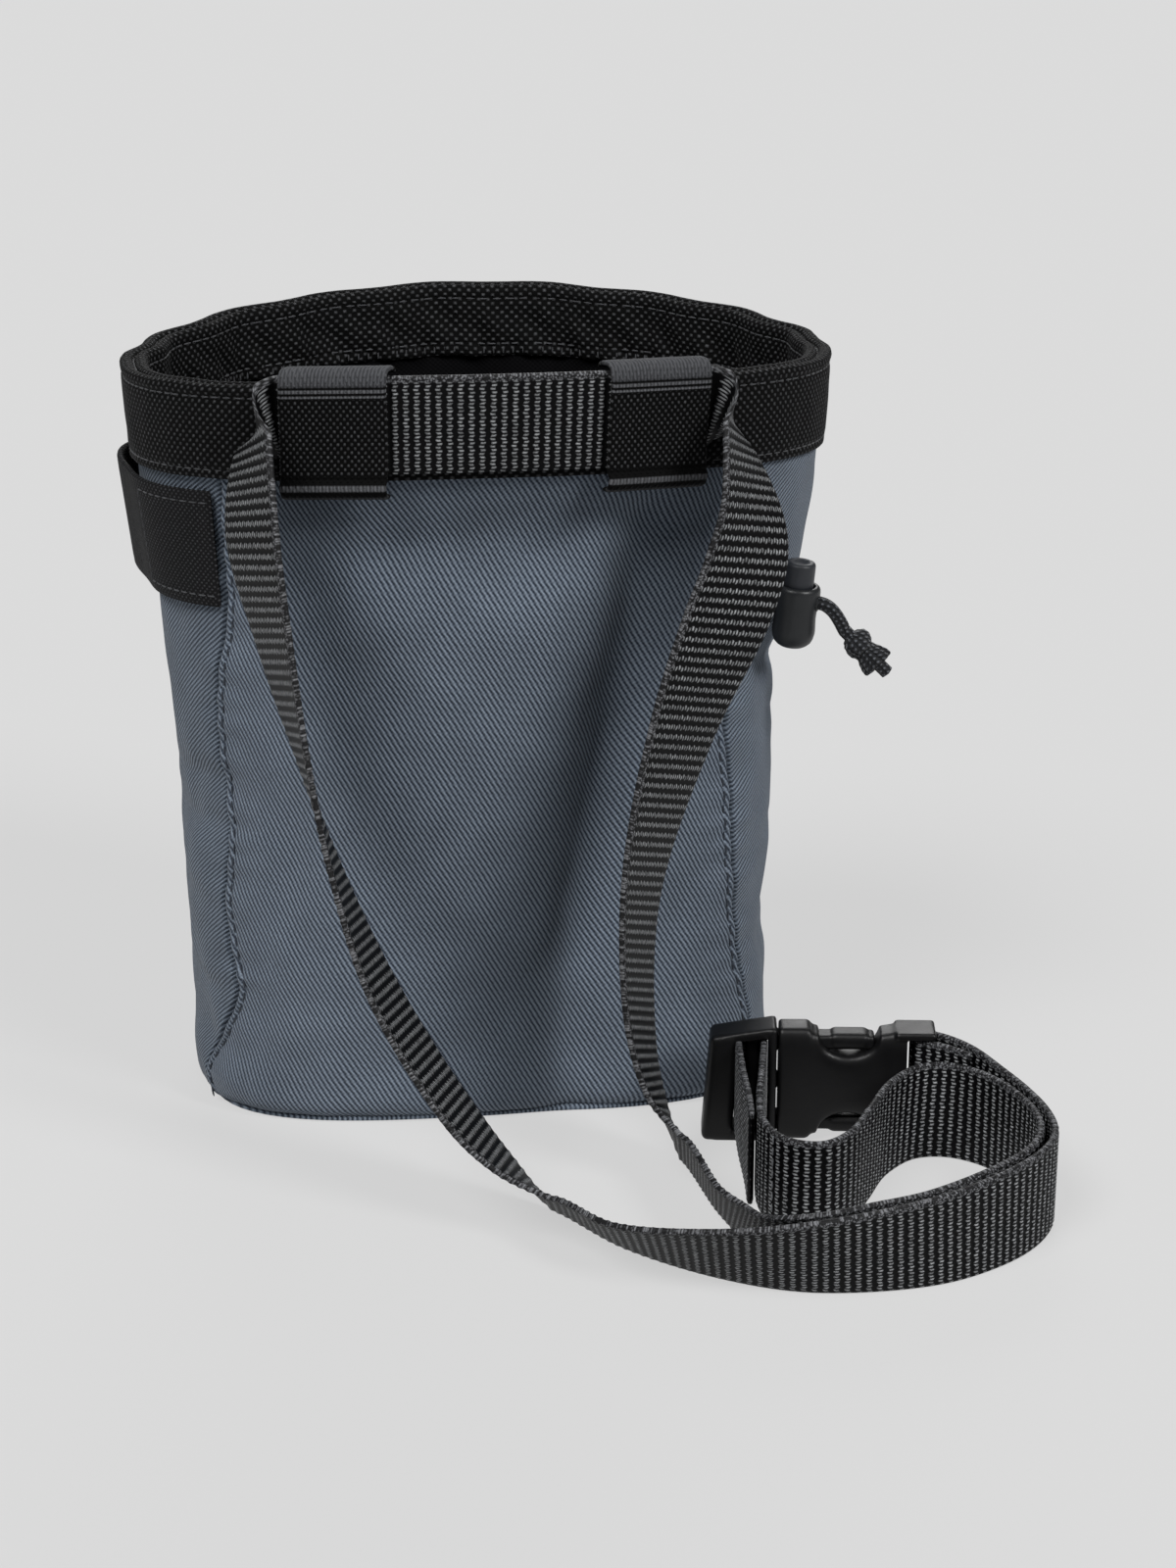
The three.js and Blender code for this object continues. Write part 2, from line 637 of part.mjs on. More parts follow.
// Manifold solid of a closed geometry
function toSolid(geometry) {
  const plain = geometry.clone();
  for (const name of Object.keys(plain.attributes)) {
    if (name !== "position") plain.deleteAttribute(name);
  }
  const merged = mergeVertices(plain, 1e-4);
  const mesh = new wasm.Mesh({
    numProp: 3,
    vertProperties: new Float32Array(merged.attributes.position.array),
    triVerts: new Uint32Array(merged.index.array),
  });
  mesh.merge();
  return new wasm.Manifold(mesh);
}

function toGeometry(solid) {
  const mesh = solid.getMesh();
  const geometry = new THREE.BufferGeometry();
  geometry.setAttribute("position", new THREE.BufferAttribute(new Float32Array(mesh.vertProperties), 3));
  geometry.setIndex(new THREE.BufferAttribute(new Uint32Array(mesh.triVerts), 1));
  return geometry;
}

// Plate with its outline in the X-Z plane and its thickness along Y, centred on Y = 0
function plate(outline, thickness, bevel) {
  const geometry = new THREE.ExtrudeGeometry(outline, {
    depth: thickness - 2 * bevel,
    bevelEnabled: bevel > 0,
    bevelThickness: bevel,
    bevelSize: bevel,
    bevelOffset: -bevel,
    bevelSegments: 1,
    curveSegments: 5,
  });
  geometry.translate(0, 0, bevel - thickness / 2);
  return toSolid(geometry.rotateX(Math.PI / 2));
}

// Box between two corners
function block(from, to) {
  const size = to.map((value, i) => value - from[i]);
  const geometry = new THREE.BoxGeometry(...size);
  return toSolid(geometry.translate(...from.map((value, i) => value + size[i] / 2)));
}

function roundedOutline(left, right, low, high, radius) {
  const outline = new THREE.Shape();
  outline.moveTo(left + radius, low);
  outline.lineTo(right - radius, low);
  outline.quadraticCurveTo(right, low, right, low + radius);
  outline.lineTo(right, high - radius);
  outline.quadraticCurveTo(right, high, right - radius, high);
  outline.lineTo(left + radius, high);
  outline.quadraticCurveTo(left, high, left, high - radius);
  outline.lineTo(left, low + radius);
  outline.quadraticCurveTo(left, low, left + radius, low);
  return outline;
}

// Upright round bar of the buckle, with its ends inside the rails
function uprightBar(x) {
  const length = buckleWidth - slotMargin;
  const geometry = new THREE.CylinderGeometry(barDiameter / 2, barDiameter / 2, length, 10);
  return toSolid(geometry.rotateX(Math.PI / 2).translate(x, 0, buckleWidth / 2));
}

// Half the room that a bar and the belt round it take along the buckle
const barRoom = barDiameter / 2 + 2 * layerGap + beltThickness;

function bucklePlug() {
  const end = buckleParts.plugEnd * buckleLength;
  const bar = buckleParts.plugBar * buckleLength;
  const middle = buckleWidth / 2;
  const frame = plate(roundedOutline(0, end, 0, buckleWidth, plugCorner), buckleThickness, railBevel);
  const window = block(
    [bar - barRoom, -buckleThickness, slotMargin],
    [bar + barRoom, buckleThickness, buckleWidth - slotMargin],
  );
  let solid = frame.subtract(window).add(uprightBar(bar));
  const armEnd = buckleParts.armEnd * buckleLength;
  const armStand = socketShape.waist * middle - armWidth / 2 - socketWall / 2;
  for (const side of [-1, 1]) {
    const centre = middle + side * armStand;
    const [low, high] = [centre - armWidth / 2, centre + armWidth / 2];
    const arm = roundedOutline(end - railBevel, armEnd, low, high, armWidth / 3);
    solid = solid.add(plate(arm, armThickness, 0));
  }
  const [low, high] = [middle - armWidth / 2, middle + armWidth / 2];
  const guide = roundedOutline(end - railBevel, armEnd, low, high, armWidth / 5);
  return toGeometry(solid.add(plate(guide, armThickness / 2, 0)));
}

function buckleSocket() {
  const start = buckleParts.plugEnd * buckleLength + layerGap;
  const middle = buckleWidth / 2;
  const shoulder = buckleParts.shoulder * buckleLength;
  const windowEnd = buckleParts.windowEnd * buckleLength;
  const bar = buckleParts.socketBar * buckleLength;
  const end = bar + barDiameter / 2 + railBevel;
  const reach = (share) => share * middle;
  // Lower half of the outline from the mouth to the heel, with a finger scoop as an arc
  const scoopMiddle = (shoulder + windowEnd) / 2;
  const scoopHalf = ((windowEnd - shoulder) * socketShape.scoopLength) / 2;
  const lower = [
    [start, reach(socketShape.shoulder)],
    [shoulder, reach(socketShape.shoulder)],
    [shoulder + shoulderSlope, reach(socketShape.waist)],
    ...steps(0, 180, 8).map((angle) => [
      scoopMiddle - scoopHalf * Math.cos(angle * degree),
      reach(socketShape.waist) - reach(socketShape.waist - socketShape.scoop) * Math.sin(angle * degree),
    ]),
    [windowEnd + shoulderSlope, reach(socketShape.heel)],
    [end - socketCorner, reach(socketShape.heel)],
    [end, reach(socketShape.heel) - socketCorner],
  ];
  const outline = new THREE.Shape([
    ...lower.map(([x, half]) => new THREE.Vector2(x, middle - half)),
    ...lower.reverse().map(([x, half]) => new THREE.Vector2(x, middle + half)),
  ]);
  const inside = buckleThickness / 2 - socketWall;
  const room = reach(socketShape.waist) - socketWall / 2 + layerGap;
  const cavity = block(
    [start - 1, -inside, middle - room],
    [bar - barRoom - socketWall, inside, middle + room],
  );
  const slot = block(
    [bar - barRoom, -buckleThickness, slotMargin],
    [end + 1, buckleThickness, buckleWidth - slotMargin],
  );
  return toGeometry(plate(outline, buckleThickness, railBevel).subtract(cavity).subtract(slot).add(uprightBar(bar)));
}

// Turned shape from radius and height pairs, about Z
function turned(profile, sides) {
  const points = profile.map(([radius, height]) => new THREE.Vector2(radius, height));
  return toSolid(new THREE.LatheGeometry(points, sides).rotateX(Math.PI / 2));
}

const boreRadius = buttonDiameter / 2 + buckleClearance;
const cordHeight = cordShare * lockHeight;
const buttonFoot = cordHeight - cordDiameter / 2 - 2 * buckleClearance - lockFloor;
const boreFoot = buttonFoot - buttonTravel - layerGap;

function lockBody() {
  const radius = lockDiameter / 2;
  const body = turned([
    [0, 0],
    [0.58 * radius, 0.02 * lockHeight],
    [0.87 * radius, 0.1 * lockHeight],
    [0.96 * radius, 0.24 * lockHeight],
    [0.94 * radius, 0.5 * lockHeight],
    [radius, 0.78 * lockHeight],
    [radius, 0.93 * lockHeight],
    [0.93 * radius, lockHeight],
    [boreRadius, lockHeight],
    [boreRadius, boreFoot],
    [0, boreFoot],
  ], 16);
  const hole = new THREE.CylinderGeometry(cordDiameter / 2 + buckleClearance, cordDiameter / 2 + buckleClearance,
    2 * lockDiameter, 10);
  return toGeometry(body.subtract(toSolid(hole.rotateZ(Math.PI / 2).translate(0, 0, cordHeight))));
}

function lockButton() {
  const radius = buttonDiameter / 2;
  const top = lockHeight + buttonShow;
  const button = turned([
    [0, buttonFoot],
    [radius, buttonFoot],
    [radius, top - buttonChamfer],
    [radius - buttonChamfer, top],
    [0, top],
  ], 14);
  const room = cordDiameter / 2 + buckleClearance;
  const slot = block(
    [-lockDiameter, -room, cordHeight - room],
    [lockDiameter, room, cordHeight + room + buttonTravel],
  );
  return toGeometry(button.subtract(slot));
}

function cordTube() {
  const curve = new THREE.CatmullRomCurve3(cordRoute.map((point) => new THREE.Vector3(...point)));
  const section = new THREE.Shape(steps(0, 315, 7).map((angle) => new THREE.Vector2(
    (cordDiameter / 2) * Math.cos(angle * degree),
    (cordDiameter / 2) * Math.sin(angle * degree),
  )));
  return new THREE.ExtrudeGeometry(section, { steps: 10, extrudePath: curve, bevelEnabled: false });
}

// The knot and its splayed end: ovals along the knot's axis
function cordKnot() {
  const start = new THREE.Vector3(...cordRoute[cordRoute.length - 1]);
  start.addScaledVector(knotAxis, knotStart * cordDiameter);
  const wide = new THREE.Vector3(-knotAxis.z, 0, knotAxis.x).normalize();
  const thick = new THREE.Vector3().crossVectors(knotAxis, wide);
  const ovals = [
    { along: 0, width: 0.55, thickness: 0.6 },
    { along: 0.14, width: 0.82, thickness: 1 },
    { along: 0.42, width: 0.86, thickness: 1 },
    { along: 0.6, width: 0.74, thickness: 0.72 },
    { along: 0.92, width: 1, thickness: 0.66 },
    { along: 1, width: 0.92, thickness: 0.5 },
  ];
  return ringSolid(ovals.map(({ along, width, thickness }) => steps(0, 330, 11).map((angle) => {
    return start.clone().addScaledVector(knotAxis, along * knotLength)
      .addScaledVector(wide, (width * knotWidth * Math.cos(angle * degree)) / 2)
      .addScaledVector(thick, (thickness * knotThickness * Math.sin(angle * degree)) / 2);
  })), false);
}

const canvas = { color: 0x4a5462, roughness: 0.92, metalness: 0 };
const webbing = { color: 0x1f2022, roughness: 0.85, metalness: 0 };
const nylon = { color: 0x131416, roughness: 0.6, metalness: 0 };
const plastic = { color: 0x1b1c1f, roughness: 0.45, metalness: 0 };

const bag = new THREE.Group();

function addPiece(parent, name, geometry, finish) {
  const mesh = new THREE.Mesh(geometry, new THREE.MeshStandardMaterial(finish));
  mesh.name = name;
  parent.add(mesh);
  return mesh;
}

const panelNames = ["back_panel", "side_panel_right", "front_panel", "side_panel_left"];
panels.forEach((panel, i) => addPiece(bag, panelNames[i], clothPanel(panel), canvas));
addPiece(bag, "base_panel", basePanel(), canvas);
addPiece(bag, "lining", liningCup(), nylon);
addPiece(bag, "collar", collarRing(), webbing);
addPiece(bag, "belt_loop_left", beltLoop(-loopSpacing / 2), webbing);
addPiece(bag, "belt_loop_right", beltLoop(loopSpacing / 2), webbing);
addPiece(bag, "waist_belt", webbingStrip(beltRows(), beltWidth, beltThickness), webbing);
addPiece(bag, "brush_holder", brushHolder(), webbing);

const buckle = new THREE.Group();
buckle.position.set(buckleFoot.x, buckleFoot.y, 0);
buckle.rotation.z = buckleTurn * degree;
addPiece(buckle, "buckle_plug", bucklePlug(), plastic);
addPiece(buckle, "buckle_socket", buckleSocket(), plastic);
bag.add(buckle);

const lock = new THREE.Group();
lock.position.set(lockPlace.across * halfWidth, -lockPlace.out * halfDepth, lockPlace.height * bagHeight);
lock.rotation.set(0, lockPlace.lean * degree, lockPlace.turn * degree, "ZYX");
addPiece(lock, "cord_lock_body", lockBody(), plastic);
addPiece(lock, "cord_lock_button", lockButton(), plastic);
bag.add(lock);

addPiece(bag, "drawcord", cordTube(), webbing);
addPiece(bag, "cord_knot", cordKnot(), webbing);

export default bag;
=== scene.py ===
import math
import random
from functools import lru_cache

import bmesh
import bpy
from mathutils import Matrix, Vector, noise


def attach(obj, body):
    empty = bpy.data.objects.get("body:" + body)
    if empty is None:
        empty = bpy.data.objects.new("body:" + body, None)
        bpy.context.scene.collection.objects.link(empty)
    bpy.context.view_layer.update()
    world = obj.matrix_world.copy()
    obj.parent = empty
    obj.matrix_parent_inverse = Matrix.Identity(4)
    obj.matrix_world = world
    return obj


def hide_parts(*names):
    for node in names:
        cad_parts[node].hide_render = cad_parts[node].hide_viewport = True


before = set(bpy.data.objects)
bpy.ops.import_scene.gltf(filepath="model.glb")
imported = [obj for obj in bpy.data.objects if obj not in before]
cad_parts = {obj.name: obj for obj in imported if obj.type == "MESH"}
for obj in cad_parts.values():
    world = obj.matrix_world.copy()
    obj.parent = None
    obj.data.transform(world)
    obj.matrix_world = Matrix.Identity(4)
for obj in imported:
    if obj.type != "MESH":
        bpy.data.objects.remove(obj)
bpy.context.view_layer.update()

mm = 0.001
wavePeriod = 0.31416  # a wave texture's own period at scale 1
random.seed(5)

# Camera: where the photograph was taken from
view = {"place": (-47.6, -618, 293), "pitch": 20.5, "yaw": 6.4, "lens": 73.35}
cameraData = bpy.data.cameras.new("camera")
cameraData.lens = view["lens"]
cameraData.sensor_width = 36
cameraData.clip_end = 30
camera = bpy.data.objects.new("camera", cameraData)
camera.location = Vector(view["place"]) * mm
camera.rotation_euler = (math.radians(90 - view["pitch"]), 0, math.radians(-view["yaw"]))
bpy.context.scene.collection.objects.link(camera)
bpy.context.scene.camera = camera
bpy.context.scene.view_settings.view_transform = "Standard"
print("camera ready")


# Helpers for materials, meshes and curves
def linear(code):
    channels = [int(code[i:i + 2], 16) / 255 for i in (1, 3, 5)]
    return (*[c / 12.92 if c <= 0.04045 else ((c + 0.055) / 1.055) ** 2.4 for c in channels], 1)


def addNode(material, kind, inputs=None, **settings):
    node = material.node_tree.nodes.new("ShaderNode" + kind)
    for name, value in settings.items():
        setattr(node, name, value)
    for socket, value in (inputs or {}).items():
        if isinstance(value, bpy.types.Node):
            value = value.outputs[0]
        if isinstance(value, bpy.types.NodeSocket):
            material.node_tree.links.new(value, node.inputs[socket])
        else:
            node.inputs[socket].default_value = value
    return node


def newMaterial(name, roughness, sheen=0.0, gloss=0.12):
    # gloss is the specular level: cloth traps most of the light that a smooth face would mirror
    material = bpy.data.materials.new(name)
    material.use_nodes = True
    shader = material.node_tree.nodes["Principled BSDF"]
    shader.inputs["Roughness"].default_value = roughness
    shader.inputs["Specular IOR Level"].default_value = gloss
    shader.inputs["Sheen Weight"].default_value = sheen
    shader.inputs["Sheen Roughness"].default_value = 0.5
    return material, shader


def dress(material, shader, colour, height, depth, strength=1.0):
    # colour is a Mix node, and depth is the relief's height in millimetres
    bump = addNode(material, "Bump", {"Height": height, "Distance": depth * mm, "Strength": strength})
    material.node_tree.links.new(bump.outputs[0], shader.inputs["Normal"])
    material.node_tree.links.new(colour.outputs[2], shader.inputs["Base Color"])


def grained(name, roughness, sheen, gloss, dark, light, grain, depth, patches=None, detail=2, worn=None):
    # noise relief, with tones that follow it or coarser patches; worn is how rough the patches may be
    material, shader = newMaterial(name, roughness, sheen, gloss)
    spot = addNode(material, "TexCoord").outputs["Object"]
    relief = addNode(material, "TexNoise", {"Vector": spot, "Scale": grain, "Detail": 2})
    tone = relief
    if patches:
        tone = addNode(material, "TexNoise", {"Vector": spot, "Scale": patches, "Detail": detail})
    if worn:
        rough = addNode(material, "MapRange", {"Value": tone, "To Min": worn[0], "To Max": worn[1]})
        material.node_tree.links.new(rough.outputs[0], shader.inputs["Roughness"])
    colour = addNode(material, "Mix", {0: tone, 6: linear(dark), 7: linear(light)}, data_type="RGBA")
    dress(material, shader, colour, relief, depth)
    return material


def threadGrid(material, spot, pitchAlong, pitchAcross):
    # lobes that change sign from thread to thread, as in a plain weave
    parts = addNode(material, "SeparateXYZ", {0: spot})
    waves = []
    for output, pitch in ((0, pitchAlong), (1, pitchAcross)):
        phase = addNode(material, "Math", {0: parts.outputs[output], 1: math.pi / pitch},
                        operation="MULTIPLY")
        waves.append(addNode(material, "Math", {0: phase}, operation="SINE"))
    return addNode(material, "Math", {0: waves[0], 1: waves[1]}, operation="MULTIPLY")


def sheet(across, along, place, close=False):
    # a grid whose every point goes where place(u, v) says, with its spot on the flat cloth as its UV
    form = bmesh.new()
    bmesh.ops.create_grid(form, x_segments=across, y_segments=along, size=0.5)
    flat = form.loops.layers.uv.new("weave")
    spots = {}
    for vert in form.verts:
        point, spots[vert] = place(round(vert.co.x + 0.5, 6), round(vert.co.y + 0.5, 6))
        vert.co = point * mm
    for face in form.faces:
        face.smooth = True
        for loop in face.loops:
            loop[flat].uv = spots[loop.vert]
    if close:
        bmesh.ops.remove_doubles(form, verts=form.verts, dist=1e-6)
        bmesh.ops.recalc_face_normals(form, faces=form.faces)
    return form


def asPiece(form, name, material, nodes=(), body="bag", wall=0):
    mesh = bpy.data.meshes.new(name)
    form.to_mesh(mesh)
    form.free()
    mesh.materials.append(material)
    piece = bpy.data.objects.new(name, mesh)
    bpy.context.scene.collection.objects.link(piece)
    if wall:
        solid = piece.modifiers.new("wall", "SOLIDIFY")
        solid.thickness = wall * mm
        solid.offset = -1
    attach(piece, body)
    if nodes:
        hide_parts(*nodes)
    return piece


def addStitch(form, middle, along, out, length, width):
    # one stitch: a small rounded thread pressed into the cloth
    along = along.normalized()
    side = along.cross(out).normalized()
    up = side.cross(along)
    place = Matrix((side * width, up * width, along * length)).transposed().to_4x4()
    place.translation = middle
    bmesh.ops.create_uvsphere(form, u_segments=6, v_segments=5, radius=0.5,
                              matrix=Matrix.Scale(mm, 4) @ place)


def blendStep(value, low, high):
    t = min(max((value - low) / (high - low), 0), 1)
    return t * t * (3 - 2 * t)


def splinePoint(points, at, even=False):
    # Catmull-Rom curve through the points, by distance or evenly
    last = len(points) - 1
    index = min(int(at), last - 1)
    t = at - index
    a, b = points[index], points[index + 1]
    before = points[index - 1] if index else 2 * a - b
    after = points[index + 2] if index + 2 <= last else 2 * b - a
    if even:
        slopeA, slopeB = (b - before) * 0.5, (after - a) * 0.5
    else:
        gapA, gap, gapB = [max((p - q).length, 1e-8) ** 0.5 for p, q in ((a, before), (b, a), (after, b))]
        slopeA = ((a - before) / gapA - (b - before) / (gapA + gap) + (b - a) / gap) * gap
        slopeB = ((b - a) / gap - (after - a) / (gap + gapB) + (after - b) / gapB) * gap
    return (a * (2 * t ** 3 - 3 * t ** 2 + 1) + slopeA * (t ** 3 - 2 * t ** 2 + t)
            + b * (3 * t ** 2 - 2 * t ** 3) + slopeB * (t ** 3 - t ** 2))


def tableAt(rows, at):
    # smooth value of a two-column table
    for low, high in zip(rows, rows[1:]):
        if at <= high[0]:
            return low[1] + (high[1] - low[1]) * blendStep(at, low[0], high[0])
    return rows[-1][1]


def pathLengths(path):
    # the distance from the start of a path to each of its points
    lengths = [0.0]
    for low, high in zip(path, path[1:]):
        lengths.append(lengths[-1] + (high - low).length)
    return lengths


def aroundNoise(turn, size, along):
    # noise that closes on itself after a whole turn
    angle = 2 * math.pi * turn
    return noise.noise(Vector((math.cos(angle) * size, math.sin(angle) * size, along)))


# The bag's surface: the outline and folds of the CAD, with a lean, a deeper valley and creases added
bag = {"height": 157, "halfWidth": 70, "halfDepth": 47, "rimDip": 4.5, "gather": 0.8, "halfWaves": 36,
       "farSide": 0.28, "lean": 1.8, "leanBelow": 0.74}
sections = [  # share of the height, width and depth as shares of the mouth's, squareness
    (0, 0.83, 0.655, 3.5), (0.02, 0.85, 0.682, 3.5), (0.11, 0.854, 0.7, 3.1), (0.32, 0.864, 0.735, 2.7),
    (0.53, 0.873, 0.775, 2.45), (0.66, 0.905, 0.8, 2.3), (0.79, 0.948, 0.835, 2.15),
    (0.88, 0.966, 0.872, 2.08), (1, 0.979, 0.968, 2.0),
]
bigFolds = [  # turn, height, span, reach, slant, depth in mm
    (0.056, 0.44, 0.024, 0.34, 0.05, 3.4), (-0.035, 0.45, 0.06, 0.34, 0.08, -1.32),
    (0.01, 0.8, 0.06, 0.05, 0, 2.07), (-0.2, 0.42, 0.05, 0.05, 0.3, 1.88),
    (-0.21, 0.14, 0.05, 0.05, -0.4, 1.69), (0.22, 0.6, 0.05, 0.05, -0.3, 1.88),
    (0.21, 0.25, 0.05, 0.06, 0.4, 1.32), (0.46, 0.42, 0.04, 0.3, -0.1, 2.26),
]
fineFolds = [  # the creases that the scene adds to the cloth
    (0.083, 0.62, 0.011, 0.16, 0.1, 0.7), (0.02, 0.2, 0.02, 0.1, 0.35, 0.6),
    (-0.085, 0.7, 0.016, 0.11, -0.16, 0.6), (-0.11, 0.33, 0.014, 0.1, 0.12, 0.5),
    (0.1, 0.3, 0.013, 0.1, 0.2, 0.55), (-0.02, 0.1, 0.03, 0.03, 0.6, 0.4),
    (-0.05, 0.79, 0.035, 0.025, 0.5, 0.7), (0.07, 0.81, 0.03, 0.022, -0.4, 0.7),
    (-0.19, 0.47, 0.05, 0.018, 0.6, 0.9), (-0.2, 0.4, 0.045, 0.016, 0.9, 0.8),
    (-0.215, 0.3, 0.04, 0.02, -0.5, 0.6), (-0.185, 0.17, 0.05, 0.015, -0.7, 0.9),
    (-0.2, 0.1, 0.04, 0.02, 0.5, 0.7), (0.19, 0.6, 0.04, 0.016, -0.7, 0.9),
    (0.2, 0.52, 0.04, 0.02, 0.5, 0.7), (0.185, 0.36, 0.03, 0.018, 0.6, 0.6),
    (0.2, 0.2, 0.04, 0.02, -0.6, 0.7), (0.3, 0.5, 0.02, 0.2, 0.2, 0.9), (0.42, 0.3, 0.02, 0.16, -0.2, 0.9),
    (0.55, 0.6, 0.025, 0.16, 0.2, 1.0), (0.58, 0.25, 0.02, 0.13, 0.3, 0.8),
    (0.7, 0.5, 0.03, 0.1, -0.2, 0.8), (0.5, 0.2, 0.03, 0.1, 0.1, 0.7),
]
deepFolds = [  # the main valley and hollows, deeper than in the CAD, for the cloth and the lining alike
    (0.057, 0.45, 0.013, 0.4, 0.05, 3.6), (0.012, 0.775, 0.09, 0.07, 0.1, 1.9),
]


@lru_cache(None)
def sectionAt(share):
    index = 0
    while index < len(sections) - 2 and share > sections[index + 1][0]:
        index += 1
    low, high = sections[index], sections[index + 1]
    before, after = sections[max(index - 1, 0)], sections[min(index + 2, len(sections) - 1)]
    run = high[0] - low[0]
    t = min(max((share - low[0]) / run, 0), 1.2)
    values = []
    for column in (1, 2, 3):
        slopeA = (high[column] - before[column]) / (high[0] - before[0]) * run
        slopeB = (after[column] - low[column]) / (after[0] - low[0]) * run
        values.append((2 * t ** 3 - 3 * t ** 2 + 1) * low[column] + (t ** 3 - 2 * t ** 2 + t) * slopeA
                      + (3 * t ** 2 - 2 * t ** 3) * high[column] + (t ** 3 - t ** 2) * slopeB)
    return values[0] * bag["halfWidth"], values[1] * bag["halfDepth"], values[2]


def foldSum(rows, turn, share):
    total = 0
    for centre, height, span, reach, slant, depth in rows:
        up = share - height
        along = (up / reach) ** 2
        if along > 9:
            continue
        around = turn - centre
        around -= round(around)
        total -= depth * math.exp(-((around - slant * up) / span) ** 2 - along)
    return total


def bagPoint(turn, share, offset=0.0):
    # turn: share of a turn from the belt side towards +X; offset: outwards from the cloth's face
    angle = 2 * math.pi * (turn - 0.25)
    width, depth, square = sectionAt(round(share, 5))
    cos, sin = math.cos(angle), math.sin(angle)
    reach = (abs(cos) ** square + abs(sin) ** square) ** (-1 / square)
    fromFar = abs(turn % 1 - 0.5)
    gather = bag["gather"] * blendStep(bag["farSide"] - fromFar, 0, 0.08) * blendStep(share, 0.84, 0.95)
    stand = offset + foldSum(bigFolds, turn, share) + gather * math.sin(bag["halfWaves"] * math.pi * turn)
    height = share * (bag["height"] - bag["rimDip"] * math.sin(2 * math.pi * turn) ** 2)
    # the belly hangs a little to the left
    lean = bag["lean"] * blendStep(bag["leanBelow"] - share, 0, 0.19) * cos ** 6
    return Vector(((width + stand) * cos * reach - lean, (depth + stand) * sin * reach, height))


def rimPoint(turn, drop, offset=0.0):
    return bagPoint(turn, 1 - drop / bag["height"], offset)


def outwards(turn, share):
    a = bagPoint(turn + 0.002, share) - bagPoint(turn - 0.002, share)
    b = bagPoint(turn, share + 0.01) - bagPoint(turn, share - 0.01)
    return a.cross(b).normalized()


# Drawcord: the end that comes out at the right side, and its knot
cord = {"diameter": 2.7, "girth": 8.5, "inside": 1.5, "knotAxis": (0.7, -0.12, -0.7), "intoKnot": 12.6}
cordRoute = [Vector(p) for p in (
    (55.7, -23.1, 107.2), (60.3, -24.8, 106.8), (65.2, -26.6, 106.3), (66.9, -27.1, 105.2),
    (68.5, -27.2, 102.9), (69.5, -27.2, 100.9),
)]
knotAxis = Vector(cord["knotAxis"]).normalized()
cordPath = [cordRoute[0] + (cordRoute[0] - cordRoute[1]).normalized() * cord["inside"]]
cordPath += [splinePoint(cordRoute, i / 4) for i in range(21)]
cordPath += [cordRoute[-1] + knotAxis * cord["intoKnot"] * i / 6 for i in range(1, 7)]

# Polyester braid: round tubular plait of eight strands, satin black with light flecks where they cross
braidCord, braidShader = newMaterial("braidedPolyesterCord", 0.7, 0.15)
braidSpot = addNode(braidCord, "UVMap", uv_map="weave")
braidTurned = addNode(braidCord, "Mapping", {"Vector": braidSpot, "Rotation": (0, 0, math.radians(45))})
braidGrid = threadGrid(braidCord, braidTurned, 0.75, 0.75)  # plait of 0.5 mm strands, drawn coarser to show
braidFleck = addNode(braidCord, "MapRange", {"Value": braidGrid, "From Min": 0.25, "From Max": 1.0})
braidTones = {0: braidFleck, 6: linear("#121316"), 7: linear("#55585d")}
braidColour = addNode(braidCord, "Mix", braidTones, data_type="RGBA")
dress(braidCord, braidShader, braidColour, braidGrid, 0.25)


def tube(path, radius, rows, around=20):
    lengths = pathLengths(path)

    def place(u, v):
        at = v * lengths[-1]
        index = next(i for i in range(len(path) - 1) if at <= lengths[i + 1] + 1e-6)
        gap = lengths[index + 1] - lengths[index]
        middle = path[index].lerp(path[index + 1], (at - lengths[index]) / gap)
        ahead = path[min(index + 2, len(path) - 1)] - path[max(index - 1, 0)]
        side = ahead.cross(Vector((0, 1, 0.2))).normalized()
        other = ahead.cross(side).normalized()
        angle = 2 * math.pi * u
        wide = radius * (1 if 0 < v < 1 else 0.02)
        outer = middle + (side * math.cos(angle) + other * math.sin(angle)) * wide
        return outer, (u * cord["girth"], at)

    return sheet(around, rows, place, close=True)


drawcordForm = tube(cordPath, cord["diameter"] / 2, 70)
drawcord = asPiece(drawcordForm, "cord_braid", braidCord, ["drawcord"])

knot = {"start": 1.3, "length": 8.6, "width": 6.6, "thickness": 5, "round": 0.94, "girth": 16}
knotOvals = [  # share of the length, width and thickness as shares of the knot's
    (0, 0.4, 0.5), (0.06, 0.62, 0.8), (0.16, 0.84, 1), (0.3, 0.9, 1.02), (0.42, 0.84, 0.98),
    (0.5, 0.7, 0.8), (0.57, 0.72, 0.74), (0.7, 0.86, 0.74), (0.86, 0.98, 0.68), (0.95, 1, 0.6),
    (1, 0.92, 0.46),
]


